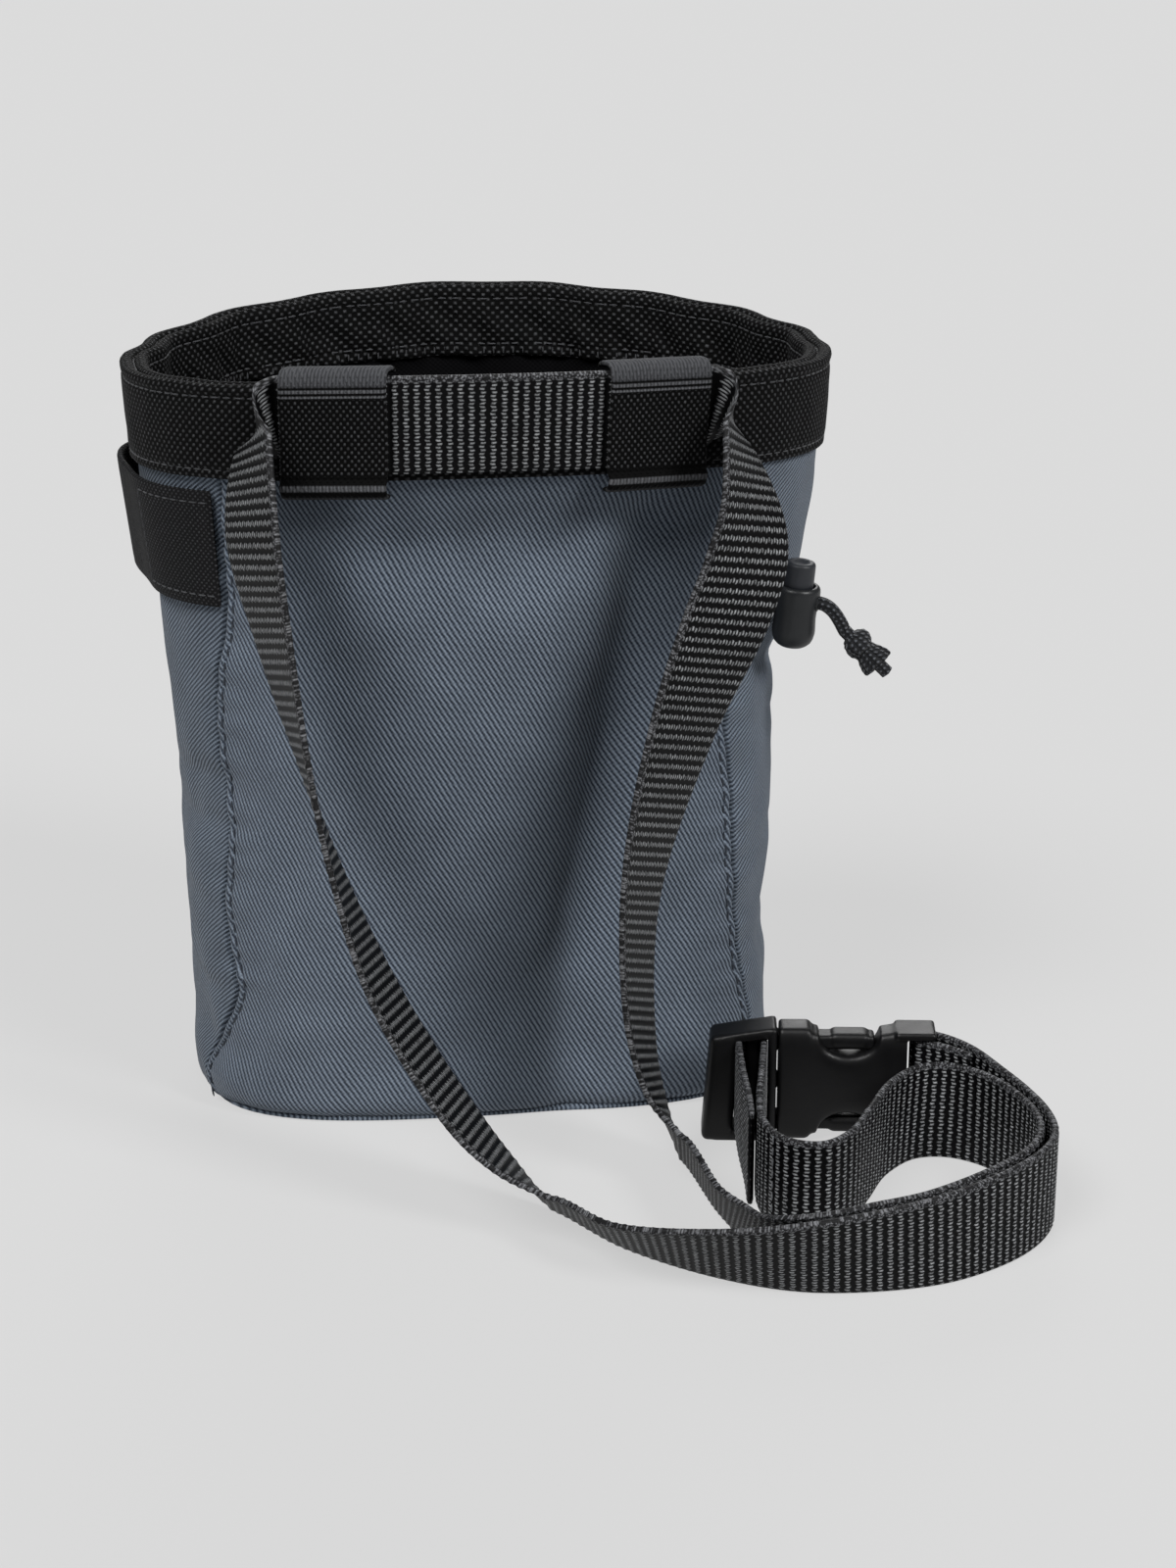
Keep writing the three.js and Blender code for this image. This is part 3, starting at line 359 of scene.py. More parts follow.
def knotPlace(u, v):
    # a flat overhand knot and its splayed, heat-sealed end
    wide = Vector((-knotAxis.z, 0, knotAxis.x)).normalized()
    thick = knotAxis.cross(wide)
    share = min(v / knot["round"], 1)
    close = 1 if v <= knot["round"] else max(0.0, (1 - v) / 0.06) ** 0.6
    if v < 0.03:
        close = v / 0.03
    width = tableAt([(row[0], row[1]) for row in knotOvals], share) * knot["width"] / 2 * close
    thickness = tableAt([(row[0], row[2]) for row in knotOvals], share) * knot["thickness"] / 2 * close
    angle = 2 * math.pi * u
    # first the turns of the knot, then the splayed strands
    strand = 0.22 * math.sin(3 * angle + 9 * share) * blendStep(0.56 - share, 0, 0.08)
    strand += 0.16 * math.sin(9 * angle) * blendStep(share, 0.6, 0.75)
    point = cordRoute[-1] + knotAxis * (knot["start"] + share * knot["length"])
    point += wide * (width + strand * close) * math.cos(angle)
    point += thick * (thickness + strand * close) * math.sin(angle)
    return point, (u * knot["girth"], share * knot["length"] + 3 * math.sin(angle))


knotForm = sheet(54, 44, knotPlace, close=True)
knotPiece = asPiece(knotForm, "cord_end_knot", braidCord, ["cord_knot"])
print("cord ready")

# Cord lock: a turned barrel and its spring button
lock = {"foot": (59.5, -24.487, 97.34), "lean": 5, "turn": -20, "height": 12.7, "show": 4.7, "bore": 3.22,
        "floor": 4.8, "button": 3.0}
lockMatrix = (Matrix.Translation(Vector(lock["foot"])) @ Matrix.Rotation(math.radians(lock["turn"]), 4, "Z")
              @ Matrix.Rotation(math.radians(lock["lean"]), 4, "Y"))

# Acetal: moulded from a spark-eroded tool, so black satin with soft highlights and a very fine grain
acetal = grained("mouldedAcetal", 0.45, 0.0, 0.25, "#070708", "#0d0d0e", 2600, 0.02, patches=160, detail=3,
                 worn=(0.34, 0.52))

# Nylon: the lock's own plastic, a little lighter and bluer, moulded with a finer satin face
lockPlastic = grained("mouldedNylon", 0.4, 0.0, 0.35, "#151618", "#1e2022", 3000, 0.015, patches=220)

# The button is the lock's nylon in a lighter, greyer tone, a painted highlight for the light its top
# reflects, so its top is the lightest spot of the lock
buttonPaintedHighlight = grained("mouldedNylonButtonPaintedHighlight", 0.45, 0.0, 0.35, "#1e2023", "#2b2d32", 3000, 0.015,
                        patches=300)


def turnedShape(profile, place, steps=40):
    # a profile of radius and height pairs, spun round Z
    form = bmesh.new()
    verts = [form.verts.new(Vector((radius, 0, height)) * mm) for radius, height in profile]
    for a, b in zip(verts, verts[1:]):
        form.edges.new((a, b))
    bmesh.ops.spin(form, geom=form.verts[:] + form.edges[:], axis=(0, 0, 1), cent=(0, 0, 0),
                   angle=2 * math.pi, steps=steps, use_merge=True)
    bmesh.ops.remove_doubles(form, verts=form.verts, dist=1e-6)
    bmesh.ops.recalc_face_normals(form, faces=form.faces)
    moved = Matrix.Translation(place.translation * mm) @ place.to_3x3().to_4x4()
    bmesh.ops.transform(form, matrix=moved, verts=form.verts)
    for face in form.faces:
        face.smooth = True
    return form


lockProfile = [  # radius and height: up the outside, over the top and down the bore to its floor
    (0.0, 0.0), (1.9, 0.0), (2.5, 0.12), (3.1, 0.5), (3.7, 1.1), (4.05, 1.9), (4.25, 2.9), (4.28, 3.6),
    (4.2, 4.8), (4.12, 6.0), (4.16, 7.2), (4.3, 8.6), (4.46, 9.7), (4.5, 10.4), (4.5, 11.6), (4.42, 12.1),
    (4.18, 12.5), (3.9, 12.66), (3.55, 12.7), (3.32, 12.6), (3.24, 12.3), (lock["bore"], lock["floor"]),
    (0.0, lock["floor"]),
]
lockForm = turnedShape(lockProfile, lockMatrix, 56)
lockBody = asPiece(lockForm, "lock_barrel", lockPlastic, ["cord_lock_body"])

top = lock["height"] + lock["show"]
buttonProfile = [  # radius and height, to the dished top
    (0, 8.1), (2.9, 8.1), (lock["button"], 8.3), (lock["button"], top - 0.75), (2.93, top - 0.4),
    (2.74, top - 0.14), (2.45, top - 0.02), (2.2, top), (1.75, top - 0.02), (1.4, top - 0.14),
    (1.0, top - 0.36), (0.5, top - 0.5), (0, top - 0.52),
]
buttonForm = turnedShape(buttonProfile, lockMatrix, 48)
lockButton = asPiece(buttonForm, "lock_button", buttonPaintedHighlight, ["cord_lock_button"],
                     body="button")

# The eyelets where the cord enters and leaves the barrel
eyelet = {"radius": 1.35, "wide": 0.42, "proud": 0.3, "out": 4.15, "height": 9.5}
eyeletForm = bmesh.new()
bends = [math.pi * i / 5 for i in range(11)]
for side in (-1, 1):
    profile = [(eyelet["radius"] + eyelet["wide"] * math.cos(a),
                eyelet["proud"] * math.sin(a)) for a in bends]
    seat = lockMatrix @ Matrix.Translation(Vector((side * eyelet["out"], 0, eyelet["height"])))
    ring = turnedShape(profile, seat @ Matrix.Rotation(math.radians(90), 4, "Y"), 24)
    ringMesh = bpy.data.meshes.new("eyelet")
    ring.to_mesh(ringMesh)
    ring.free()
    eyeletForm.from_mesh(ringMesh)
eyelets = asPiece(eyeletForm, "lock_eyelets", lockPlastic)


# Cloth panels: one surface cut at the four seams, with a wall inwards from it
cloth = {"wall": 0.8, "bottom": 0.35, "top": 155.4, "across": 110, "along": 130, "ridge": 0.4, "roll": 0.95,
         "pucker": 0.22, "perTurn": 345, "plainAbove": 0.875, "stitchInset": 1.75, "stitchPitch": 3.0,
         "stitchFirst": 2.5, "stitchLast": 134, "stitchLength": 2.2, "thread": 0.42}
seamLines = {  # height above the floor and share of a turn, as the seams wander in the photograph
    "backLeft": [(0, -0.174), (4, -0.176), (9, -0.175), (17, -0.1586), (28, -0.1432), (36, -0.1469),
                 (47, -0.151), (59, -0.1485), (73, -0.1525), (88, -0.154), (99, -0.148), (110, -0.14),
                 (125, -0.137), (160, -0.133)],
    "backRight": [(0, 0.151), (8, 0.149), (19, 0.1436), (31, 0.1365), (43, 0.1327), (54, 0.1314),
                  (69, 0.1305), (82, 0.1262), (100, 0.128), (125, 0.133), (160, 0.134)],
    "frontRight": [(0, 0.356), (40, 0.366), (90, 0.363), (160, 0.366)],
    "frontLeft": [(0, 0.644), (40, 0.634), (90, 0.637), (160, 0.634)],
}


# Cotton twill: dyed slate blue and woven with steep diagonal ridges, so dull, soft and finely lined
def twill(name, lean, ridgeTone, valleyTone):
    material, shader = newMaterial(name, 0.93, 0.1)
    spot = addNode(material, "UVMap", uv_map="weave")
    turned = addNode(material, "Mapping", {"Vector": spot, "Rotation": (0, 0, math.radians(lean))})
    waves = {"Vector": turned, "Scale": wavePeriod / 0.84, "Distortion": 0.55, "Detail Scale": 0.6}
    ridges = addNode(material, "TexWave", {**waves, "Detail": 2})  # one ridge every 0.84 mm
    threads = threadGrid(material, spot, 0.42, 0.42)
    parts = {0: threads, 1: 0.22, 2: ridges.outputs["Fac"]}
    relief = addNode(material, "Math", parts, operation="MULTIPLY_ADD")
    fading = addNode(material, "TexNoise", {"Vector": spot, "Scale": 0.07, "Detail": 4, "Roughness": 0.6})
    fibres = addNode(material, "TexNoise", {"Vector": spot, "Scale": 1.7, "Detail": 3, "Roughness": 0.7})
    woven = addNode(material, "Mix", {0: relief, 6: linear(valleyTone), 7: linear(ridgeTone)},
                    data_type="RGBA", clamp_factor=True)
    core = {"From Min": 0.3, "From Max": 0.7}
    shade = addNode(material, "MapRange", {"Value": fading, **core, "To Min": 0.88, "To Max": 1.1})
    speck = addNode(material, "MapRange", {"Value": fibres, **core, "To Min": 0.82, "To Max": 1.16})
    both = addNode(material, "Math", {0: shade, 1: speck}, operation="MULTIPLY")
    colour = addNode(material, "Mix", {0: 1.0, 6: woven.outputs[2], 7: both}, data_type="RGBA",
                     blend_type="MULTIPLY")
    dress(material, shader, colour, relief, 0.16)
    return material


twillBack = twill("cottonTwillBack", -26, "#707a86", "#262d38")
twillSide = twill("cottonTwillSide", 54, "#6f7985", "#2b323c")
twillFront = twill("cottonTwillFront", -28, "#707a86", "#262d38")


@lru_cache(None)
def seamAt(name, height):
    rows = seamLines[name]
    index = next((i for i in range(len(rows) - 1) if height <= rows[i + 1][0]), len(rows) - 2)
    points = [Vector((h, t)) for h, t in rows]
    part = (height - rows[index][0]) / (rows[index + 1][0] - rows[index][0])
    return splinePoint(points, index + part, True).y


@lru_cache(None)
def seamSpeed(name, share):
    turn = seamAt(name, round(share * bag["height"], 3))
    return (bagPoint(turn + 0.002, share) - bagPoint(turn - 0.002, share)).length / 0.004


def seamOffset(inset, along, topstitched):
    # the cloth rolls in at a seam, stands over its allowance and dips at the stitches
    roll = -cloth["roll"] * math.exp(-(inset / 0.5) ** 2)
    curl = math.sin(along * 0.83 + 1.7 * math.sin(along * 0.21))
    waves = cloth["pucker"] * curl * math.exp(-(inset / 6) ** 2)
    if not topstitched:
        return roll + waves
    edge = cloth["stitchInset"] + 0.3
    ridge = cloth["ridge"] * blendStep(inset, 0.2, 0.7) * blendStep(edge - inset, 0, 0.5)
    return roll + waves + ridge - 0.3 * math.exp(-((inset - cloth["stitchInset"]) / 0.3) ** 2)


def plainTop(share):
    # the folds fade out below the collar
    return blendStep(cloth["plainAbove"] - share, 0, 0.05)


def clothOffset(turn, share):
    # the creases that the scene adds, and the cloth's soft waviness
    flow = noise.noise(Vector((turn * 19, share * 6, 3.1))) * 0.8
    flow += noise.noise(Vector((turn * 52, share * 17, 9))) * 0.3
    return plainTop(share) * (foldSum(fineFolds, turn, share) + foldSum(deepFolds, turn, share) + flow)


def clothPanel(name, seamA, seamB, wrap, topstitched, material, node):
    def place(u, v):
        level = cloth["bottom"] + (cloth["top"] - cloth["bottom"]) * v
        share = level / bag["height"]
        height = round(level, 3)
        start, end = seamAt(seamA, height), seamAt(seamB, height) + wrap
        turn = start + (end - start) * (u - 0.78 * math.sin(2 * math.pi * u) / (2 * math.pi))
        fromA = (turn - start) * seamSpeed(seamA, round(share, 5))
        fromB = (end - turn) * seamSpeed(seamB, round(share, 5))
        under = 1.7 * (1 - blendStep(level, 0.2, 3.4)) + 0.25 * math.exp(-(level - 3.2) ** 2)
        offset = clothOffset(turn, share) + seamOffset(min(fromA, fromB), level, topstitched) - under
        return bagPoint(turn, share, offset), (turn * cloth["perTurn"], level)

    form = sheet(cloth["across"], cloth["along"], place)
    return asPiece(form, name, material, [node], wall=cloth["wall"])


clothPanel("cloth_back", "backLeft", "backRight", 0, True, twillBack, "back_panel")
clothPanel("cloth_side_right", "backRight", "frontRight", 0, False, twillSide, "side_panel_right")
clothPanel("cloth_front", "frontRight", "frontLeft", 0, True, twillFront, "front_panel")
clothPanel("cloth_side_left", "frontLeft", "backLeft", 1, False, twillSide, "side_panel_left")
print("cloth panels ready")

baseProfile = [  # share of the way out, and height above the floor, from below to above
    (0.0, 0.0), (0.5, 0.0), (0.9, 0.0), (0.965, 0.05), (0.985, 0.3), (0.985, 0.9), (0.96, 1.4), (0.5, 1.6),
    (0.0, 1.6),
]


def basePlace(u, v):
    index = min(int(v * 8), 7)
    low, high = Vector(baseProfile[index]), Vector(baseProfile[index + 1])
    reach, height = low.lerp(high, v * 8 - index)
    edge = bagPoint(u, 0)
    return Vector((edge.x * reach, edge.y * reach, height)), (edge.x * reach, edge.y * reach)


asPiece(sheet(96, 24, basePlace, close=True), "cloth_base", twillFront, ["base_panel"])

# Coated nylon: a smooth dense plain weave, so nearly black with soft wrinkles and a faint gloss
liningNylon, liningShader = newMaterial("coatedNylonLining", 0.7, 0.0, gloss=0.04)
liningSpot = addNode(liningNylon, "UVMap", uv_map="weave")
liningGrid = threadGrid(liningNylon, liningSpot, 0.45, 0.45)  # 0.2 mm threads, drawn coarser to show
liningTone = addNode(liningNylon, "TexNoise", {"Vector": liningSpot, "Scale": 0.1, "Detail": 4})
liningTones = {0: liningTone, 6: linear("#020203"), 7: linear("#050506")}
liningColour = addNode(liningNylon, "Mix", liningTones, data_type="RGBA")
dress(liningNylon, liningShader, liningColour, liningGrid, 0.03)
lining = {"wall": 0.5, "stand": -2.35, "wrinkle": 1.1, "floor": 3.0, "top": 153.5, "corner": 1.2,
          "floorRows": 0.2}


def liningPlace(u, v):
    if v < lining["floorRows"]:  # the floor of the inner bag
        reach = v / lining["floorRows"]
        edge = bagPoint(u, lining["floor"] / bag["height"], lining["stand"] - lining["corner"])
        spot = (edge.x * reach, edge.y * reach)
        sag = 0.5 * noise.noise(Vector((spot[0] * 0.06, spot[1] * 0.06, 2)))
        return Vector((*spot, lining["floor"] + abs(sag))), spot
    upwards = (v - lining["floorRows"]) / (1 - lining["floorRows"])
    level = lining["floor"] + (lining["top"] - lining["floor"]) * upwards
    share = level / bag["height"]
    wave = aroundNoise(u, 3.2, share * 1.6)
    corner = lining["corner"] * (1 - blendStep(level, lining["floor"], lining["floor"] + 5))
    fade = blendStep(0.93 - share, 0, 0.08)
    sunk = plainTop(share) * foldSum(deepFolds, u, share)
    return (bagPoint(u, share, lining["stand"] - corner + sunk - fade * lining["wrinkle"] * (0.5 + wave)),
            (u * cloth["perTurn"], level))


liningForm = sheet(190, 90, liningPlace)
asPiece(liningForm, "inner_lining", liningNylon, ["lining"], wall=lining["wall"])

# Spun polyester thread: twisted and dull, one dark thread in three tones: in the cloth's grey on the cloth,
# and lighter on the belt and the collar, where the extra lightness is painted highlight
stitchDark = grained("slatePolyesterThread", 0.8, 0.2, 0.12, "#161b23", "#2b323c", 900, 0.06)
threadPaintedHighlight = grained("polyesterThreadPaintedHighlight", 0.8, 0.2, 0.12, "#47494c", "#77797c", 900, 0.06)
collarThreadPaintedHighlight = grained("collarPolyesterThreadPaintedHighlight", 0.75, 0.2, 0.12, "#222325", "#4b4c4f", 900, 0.06)

topstitch = bmesh.new()
for seamName, inwards in (("backLeft", 1), ("backRight", -1), ("frontRight", 1), ("frontLeft", -1)):
    level = cloth["stitchFirst"]
    while level < cloth["stitchLast"]:
        share = level / bag["height"]
        speed = seamSpeed(seamName, round(share, 5))
        turn = seamAt(seamName, round(level, 3)) + inwards * cloth["stitchInset"] / speed
        nextTurn = seamAt(seamName, round(level + 1, 3)) + inwards * cloth["stitchInset"] / speed
        offset = clothOffset(turn, share) + seamOffset(cloth["stitchInset"], level, True) + 0.06
        middle = bagPoint(turn, share, offset)
        ahead = bagPoint(nextTurn, share + 1 / bag["height"], offset) - middle
        addStitch(topstitch, middle, ahead, outwards(turn, share), cloth["stitchLength"], cloth["thread"])
        level += cloth["stitchPitch"] + random.uniform(-0.15, 0.15)
asPiece(topstitch, "seam_topstitching", stitchDark)
print("base, lining and topstitching ready")

# Collar: wide webbing folded over the rim
collar = {"low": 19, "thickness": 1.2, "around": 470, "girth": 372, "innerFace": -3.3, "thread": 0.36,
          "ticks": 98}
# offset from the cloth and drop below the rim: up the outside, over the rim, down the inside and back
collarProfile = [(0.45, 19.0), (0.8, 19.15), (1.15, 19.1), (1.36, 18.8), (1.38, 18.0), (1.22, 17.4)]
collarProfile += [(1.42, 16.8)] + [(1.5, 16.0 - 0.6 * i) for i in range(20)]
collarProfile += [(1.48, 4.2), (1.45, 3.6), (1.34, 3.0), (1.18, 2.6), (1.3, 2.2), (1.5, 1.7), (1.56, 1.2),
                  (1.45, 0.7), (1.15, 0.3), (0.7, 0.05), (0.2, 0.0), (-0.3, 0.1), (-0.75, 0.38),
                  (-1.0, 0.75), (-1.12, 1.05), (-1.28, 1.1), (-1.42, 0.85), (-1.65, 0.45), (-2.05, 0.15),
                  (-2.55, 0.0), (-3.05, 0.08), (-3.5, 0.35), (-3.85, 0.8), (-4.02, 1.4), (-4.0, 2.0),
                  (-3.86, 2.6), (-3.98, 3.2), (-4.05, 3.8)]
collarProfile += [(-4.05, 4.4 + 0.6 * i) for i in range(12)]
collarProfile += [(-3.9, 11.4), (-3.86, 11.8), (-4.0, 12.4), (-4.0, 13.2), (-3.9, 13.9), (-3.6, 14.2),
                  (-3.2, 14.2), (-2.9, 13.8), (-2.8, 12), (-2.8, 7), (-2.75, 2.0), (-1.2, 1.6),
                  (0.25, 2.0), (0.3, 7), (0.3, 12), (0.3, 17), (0.36, 18.6)]
collarSteps = [0.0]
for low, high in zip(collarProfile, collarProfile[1:] + collarProfile[:1]):
    collarSteps.append(collarSteps[-1] + math.dist(low, high))


def collarPlace(u, v):
    index = min(round(v * len(collarProfile)), len(collarProfile))
    offset, drop = collarProfile[index % len(collarProfile)]
    far = blendStep(0.3 - abs(u - 0.5), 0, 0.1)
    along = u * 18 * 2 * math.pi
    ribs = 0.34 * math.sin(along * 1.5 + 0.6 * drop) + 0.26 * math.sin(along * 3.7 + 0.35 * drop)
    pucker = 0.1 * ribs * (0.4 + far)
    if offset < collar["innerFace"]:
        pucker = ribs * far * blendStep(drop, 1.5, 9)
    soft = 0.18 * aroundNoise(u, 9, drop * 0.1) if abs(offset) > 1 else 0
    lift = 0.25 * aroundNoise(u, 4, 5) if drop < 2 else 0
    return rimPoint(u, drop - lift, offset + pucker + soft), (u * collar["girth"], collarSteps[index])


# Nylon webbing, basket weave: filament yarn packed into small square dots that catch the light
def webbing(name, pitchAlong, pitchAcross, dark, light, high, depth, paintedLightBands=()):
    material, shader = newMaterial(name, 0.78, 0.02, gloss=0.06)
    spot = addNode(material, "UVMap", uv_map="weave")
    bend = addNode(material, "TexNoise", {"Vector": spot, "Scale": 0.35, "Detail": 2})
    shift = {0: bend.outputs["Color"], 1: (0.35, 0.35, 0), 2: spot}
    shifted = addNode(material, "VectorMath", shift, operation="MULTIPLY_ADD")
    grid = threadGrid(material, shifted, pitchAlong, pitchAcross)
    dots = addNode(material, "MapRange", {"Value": grid, "From Min": 0.1, "From Max": high})
    wear = addNode(material, "TexNoise", {"Vector": spot, "Scale": 1.1, "Detail": 3})
    amount = addNode(material, "MapRange", {"Value": wear, "From Min": 0.35, "From Max": 0.7,
                                            "To Min": 0.35})
    lit = addNode(material, "Math", {0: dots, 1: amount}, operation="MULTIPLY")
    colour = addNode(material, "Mix", {0: lit, 6: linear(dark), 7: linear(light)}, data_type="RGBA")
    if paintedLightBands:  # painted light where the webbing is folded and pressed: painted highlights on the ridges, painted shade in dark lines between them
        along = addNode(material, "SeparateXYZ", {0: spot})
        waves = {"Vector": spot, "Scale": wavePeriod / 0.7, "Distortion": 1.5}
        ribs = addNode(material, "TexWave", waves, bands_direction="Y")
        ribAmount = addNode(material, "MapRange", {"Value": ribs.outputs["Fac"], "To Min": 0.45})
        for start, end, tone in paintedLightBands:
            apart = {0: along.outputs[0], 1: (start + end) / 2}
            middle = addNode(material, "Math", apart, operation="SUBTRACT")
            away = addNode(material, "Math", {0: middle}, operation="ABSOLUTE")
            reach = (end - start) / 2
            edges = {"From Min": reach - 0.12, "From Max": reach + 0.12, "To Min": 1.0, "To Max": 0.0}
            inside = addNode(material, "MapRange", {"Value": away, **edges})
            amount = inside
            if tone != dark:
                amount = addNode(material, "Math", {0: inside, 1: ribAmount}, operation="MULTIPLY")
            tones = {0: amount, 6: colour.outputs[2], 7: linear(tone)}
            colour = addNode(material, "Mix", tones, data_type="RGBA")
    dress(material, shader, colour, dots, depth)
    return material


collarWebbing = webbing("basketWeaveNylonWebbing", 0.9, 0.9, "#020202", "#4e4f51", 1.0, 0.3)
collarForm = sheet(collar["around"], len(collarProfile), collarPlace, close=True)
asPiece(collarForm, "collar_webbing", collarWebbing, ["collar"])

collarStitches = bmesh.new()
stitchRows = [  # drop, offset, pitch and length
    (17.4, 1.24, 2.6, 1.9), (2.6, 1.2, 2.6, 1.8), (1.08, -1.2, 2.4, 1.6), (2.6, -3.88, 2.6, 1.8),
    (11.6, -3.9, 2.2, 1.5),
]
for drop, offset, pitch, length in stitchRows:
    count = int(collar["girth"] / pitch)
    for i in range(count):
        turn = (i + random.uniform(-0.06, 0.06)) / count
        point = rimPoint(turn, drop, offset)
        ahead = rimPoint(turn + 0.002, drop, offset) - rimPoint(turn - 0.002, drop, offset)
        face = outwards(turn, 1 - drop / bag["height"])
        if offset < -3:
            face = -face
        elif drop < 1.5:
            face = Vector((0, 0, 1))
        addStitch(collarStitches, point, ahead, face, length, collar["thread"])
for i in range(collar["ticks"]):  # upright ticks below the inner row, on the far side
    turn = 0.25 + i * 0.5 / collar["ticks"]
    point = rimPoint(turn, 12.9, -4.02)
    addStitch(collarStitches, point, Vector((0, 0, 1)), -outwards(turn, 0.92), 1.4, 0.34)
asPiece(collarStitches, "collar_stitching", collarThreadPaintedHighlight)
print("collar ready")

# Waist belt: the CAD's centre line, with steeper folds beside the loops
belt = {"width": 20, "thickness": 1.4, "aboveRim": 2.4, "step": 0.4, "ribPitch": 2.0, "rib": 0.24,
        "loopSpacing": 57, "loopWidth": 20.5, "gap": 0.3}
beltDrop = belt["width"] / 2 - belt["aboveRim"]
beltStand = 2 * belt["gap"] + collar["thickness"] + belt["thickness"] / 2
fold = {"line": (0.49, 0.28, -0.82), "ahead": (0.89, 0.4, -0.2), "sweep": 110, "radius": 2, "out": 1.0}
buckle = {"length": 46.5, "width": 25, "thickness": 7.6, "turn": -8, "across": 0.571, "out": 0.906,
          "bar": 3.0, "plugBar": 0.21, "plugEnd": 0.32, "shoulder": 0.46, "windowEnd": 0.8,
          "socketBar": 0.955, "armEnd": 0.74}
leftHang = [  # across, out and up as shares of the bag's sizes, and the way the strap's edge points
    (-0.046, 1.6, 0.08, (-0.2, -0.93, 0.3)), (-0.159, 1.523, 0.138, (-0.28, -0.94, 0.2)),
    (-0.349, 1.383, 0.283, (-0.27, -0.94, 0.2)), (-0.474, 1.277, 0.441, (-0.1, -0.95, 0.29)),
    (-0.551, 1.194, 0.58, (0.1, -0.95, 0.3)), (-0.609, 1.113, 0.704, (0.3, -0.91, 0.28)),
    (-0.655, 1.04, 0.83, (0.46, -0.86, 0.24)),
]
rightHang = [
    (0.672, 1.03, 0.845, (-0.66, -0.7, 0.27)), (0.654, 1.098, 0.785, (-0.84, -0.49, 0.23)),
    (0.593, 1.145, 0.711, (-0.87, -0.43, 0.24)), (0.479, 1.151, 0.576, (-0.7, -0.64, 0.3)),
    (0.369, 1.181, 0.378, (-0.46, -0.8, 0.37)), (0.366, 1.208, 0.194, (-0.37, -0.83, 0.42)),
    (0.407, 1.24, 0.106, (-0.27, -0.87, 0.41)),
]
outerRun = [  # across and out, lift off the floor, and the way the strap's edge points
    (1.427, 1.489, 0.1, (0, 0, 1)), (1.452, 1.681, 0, (0, 0, 1)), (1.443, 1.862, 0, (0, 0, 1)),
    (1.379, 2.028, 0, (0, 0, 1)), (1.249, 2.191, 0, (-0.03, -0.04, 1)),
    (1.046, 2.315, 0, (-0.075, -0.165, 0.985)), (0.731, 2.317, 0, (-0.095, -0.385, 0.92)),
    (0.511, 2.179, 0, (-0.145, -0.575, 0.81)), (0.274, 1.894, 0, (-0.2, -0.74, 0.64)),
    (0.101, 1.54, 0, (-0.13, -0.82, 0.56)),
]
innerRun = [
    (0.493, 1.157, 0, (-0.13, -0.75, 0.65)), (0.551, 1.632, 0, (-0.125, -0.75, 0.65)),
    (0.579, 1.8, 0, (-0.055, -0.74, 0.67)), (0.61, 2.01, 0, (-0.03, -0.65, 0.76)),
    (0.671, 2.17, 0, (-0.03, -0.5, 0.865)), (0.771, 2.255, 0, (-0.06, -0.37, 0.925)),
    (0.9, 2.27, 0, (-0.07, -0.26, 0.96)), (1.046, 2.255, 0, (-0.07, -0.165, 0.985)),
    (1.229, 2.145, 0, (-0.03, -0.04, 1)), (1.347, 2.0, 0, (0, 0, 1)), (1.406, 1.846, 0, (0, 0, 1)),
    (1.419, 1.691, 0, (0, 0, 1)), (1.394, 1.5, 0, (0, 0, 1)), (1.333, 1.335, 0, (0, 0.05, 1)),
    (1.243, 1.245, 0, (0.04, 0.08, 1)), (1.15, 1.245, 0, (0.06, 0.1, 1)), (1.05, 1.37, 0, (0.05, 0.08, 1)),
    (0.965, 1.59, 0, (0.02, 0.03, 1)), (0.89, 1.78, 0, (0, 0, 1)), (0.81, 1.865, 0, (0, 0, 1)),
    (0.735, 1.84, 0, (0, 0, 1)), (0.69, 1.76, 0, (0, 0, 1)),
]
# beside the buckle's bars: along and out in widths of the buckle, and the lift
tailEnd = [(0.344, 0.288, 0.8), (0.2, 0.184, 0.9)]
outerStart = [(0.192, -0.016, 0.9), (0.376, 0.14, 0.7), (0.58, 0.432, 0.3)]
sewnZone = [(0.064, 1.28, 0.05), (0.048, 0.96, 0.3), (0.08, 0.48, 0.7)]
sewnEnd = [(-0.08, 0.48, 0.7), (-0.032, 0.96, 0.3), (-0.016, 1.24, 0.05)]
buckleTurn = math.radians(buckle["turn"])
buckleAlong = Vector((math.cos(buckleTurn), math.sin(buckleTurn), 0))
buckleOut = Vector((buckleAlong.y, -buckleAlong.x, 0))
buckleFoot = Vector((buckle["across"] * bag["halfWidth"], -buckle["out"] * bag["halfDepth"],
                     buckle["width"] / 2))
buckleMatrix = (Matrix.Translation(Vector((buckleFoot.x, buckleFoot.y, 0)))
                @ Matrix.Rotation(buckleTurn, 4, "Z"))
liftFull = (buckle["width"] - belt["width"]) / 2


def hangRow(across, out, height, edge):
    at = Vector((across * bag["halfWidth"], -out * bag["halfDepth"], height * bag["height"]))
    return at, Vector(edge).normalized()


def floorRow(across, out, lift, edge):
    up = Vector(edge).normalized()
    at = Vector((across * bag["halfWidth"], -out * bag["halfDepth"], lift * liftFull))
    at = at + up * belt["width"] / 2
    at.z += math.sqrt(max(0, 1 - up.z ** 2)) * belt["thickness"] / 2
    return at, up


def buckleRow(share, along, out, lift):
    at = buckleFoot + buckleAlong * (share * buckle["length"] + along * buckle["width"])
    at = at + buckleOut * out * buckle["width"]
    at.z = lift * liftFull + belt["width"] / 2
    return at, Vector((0, 0, 1))


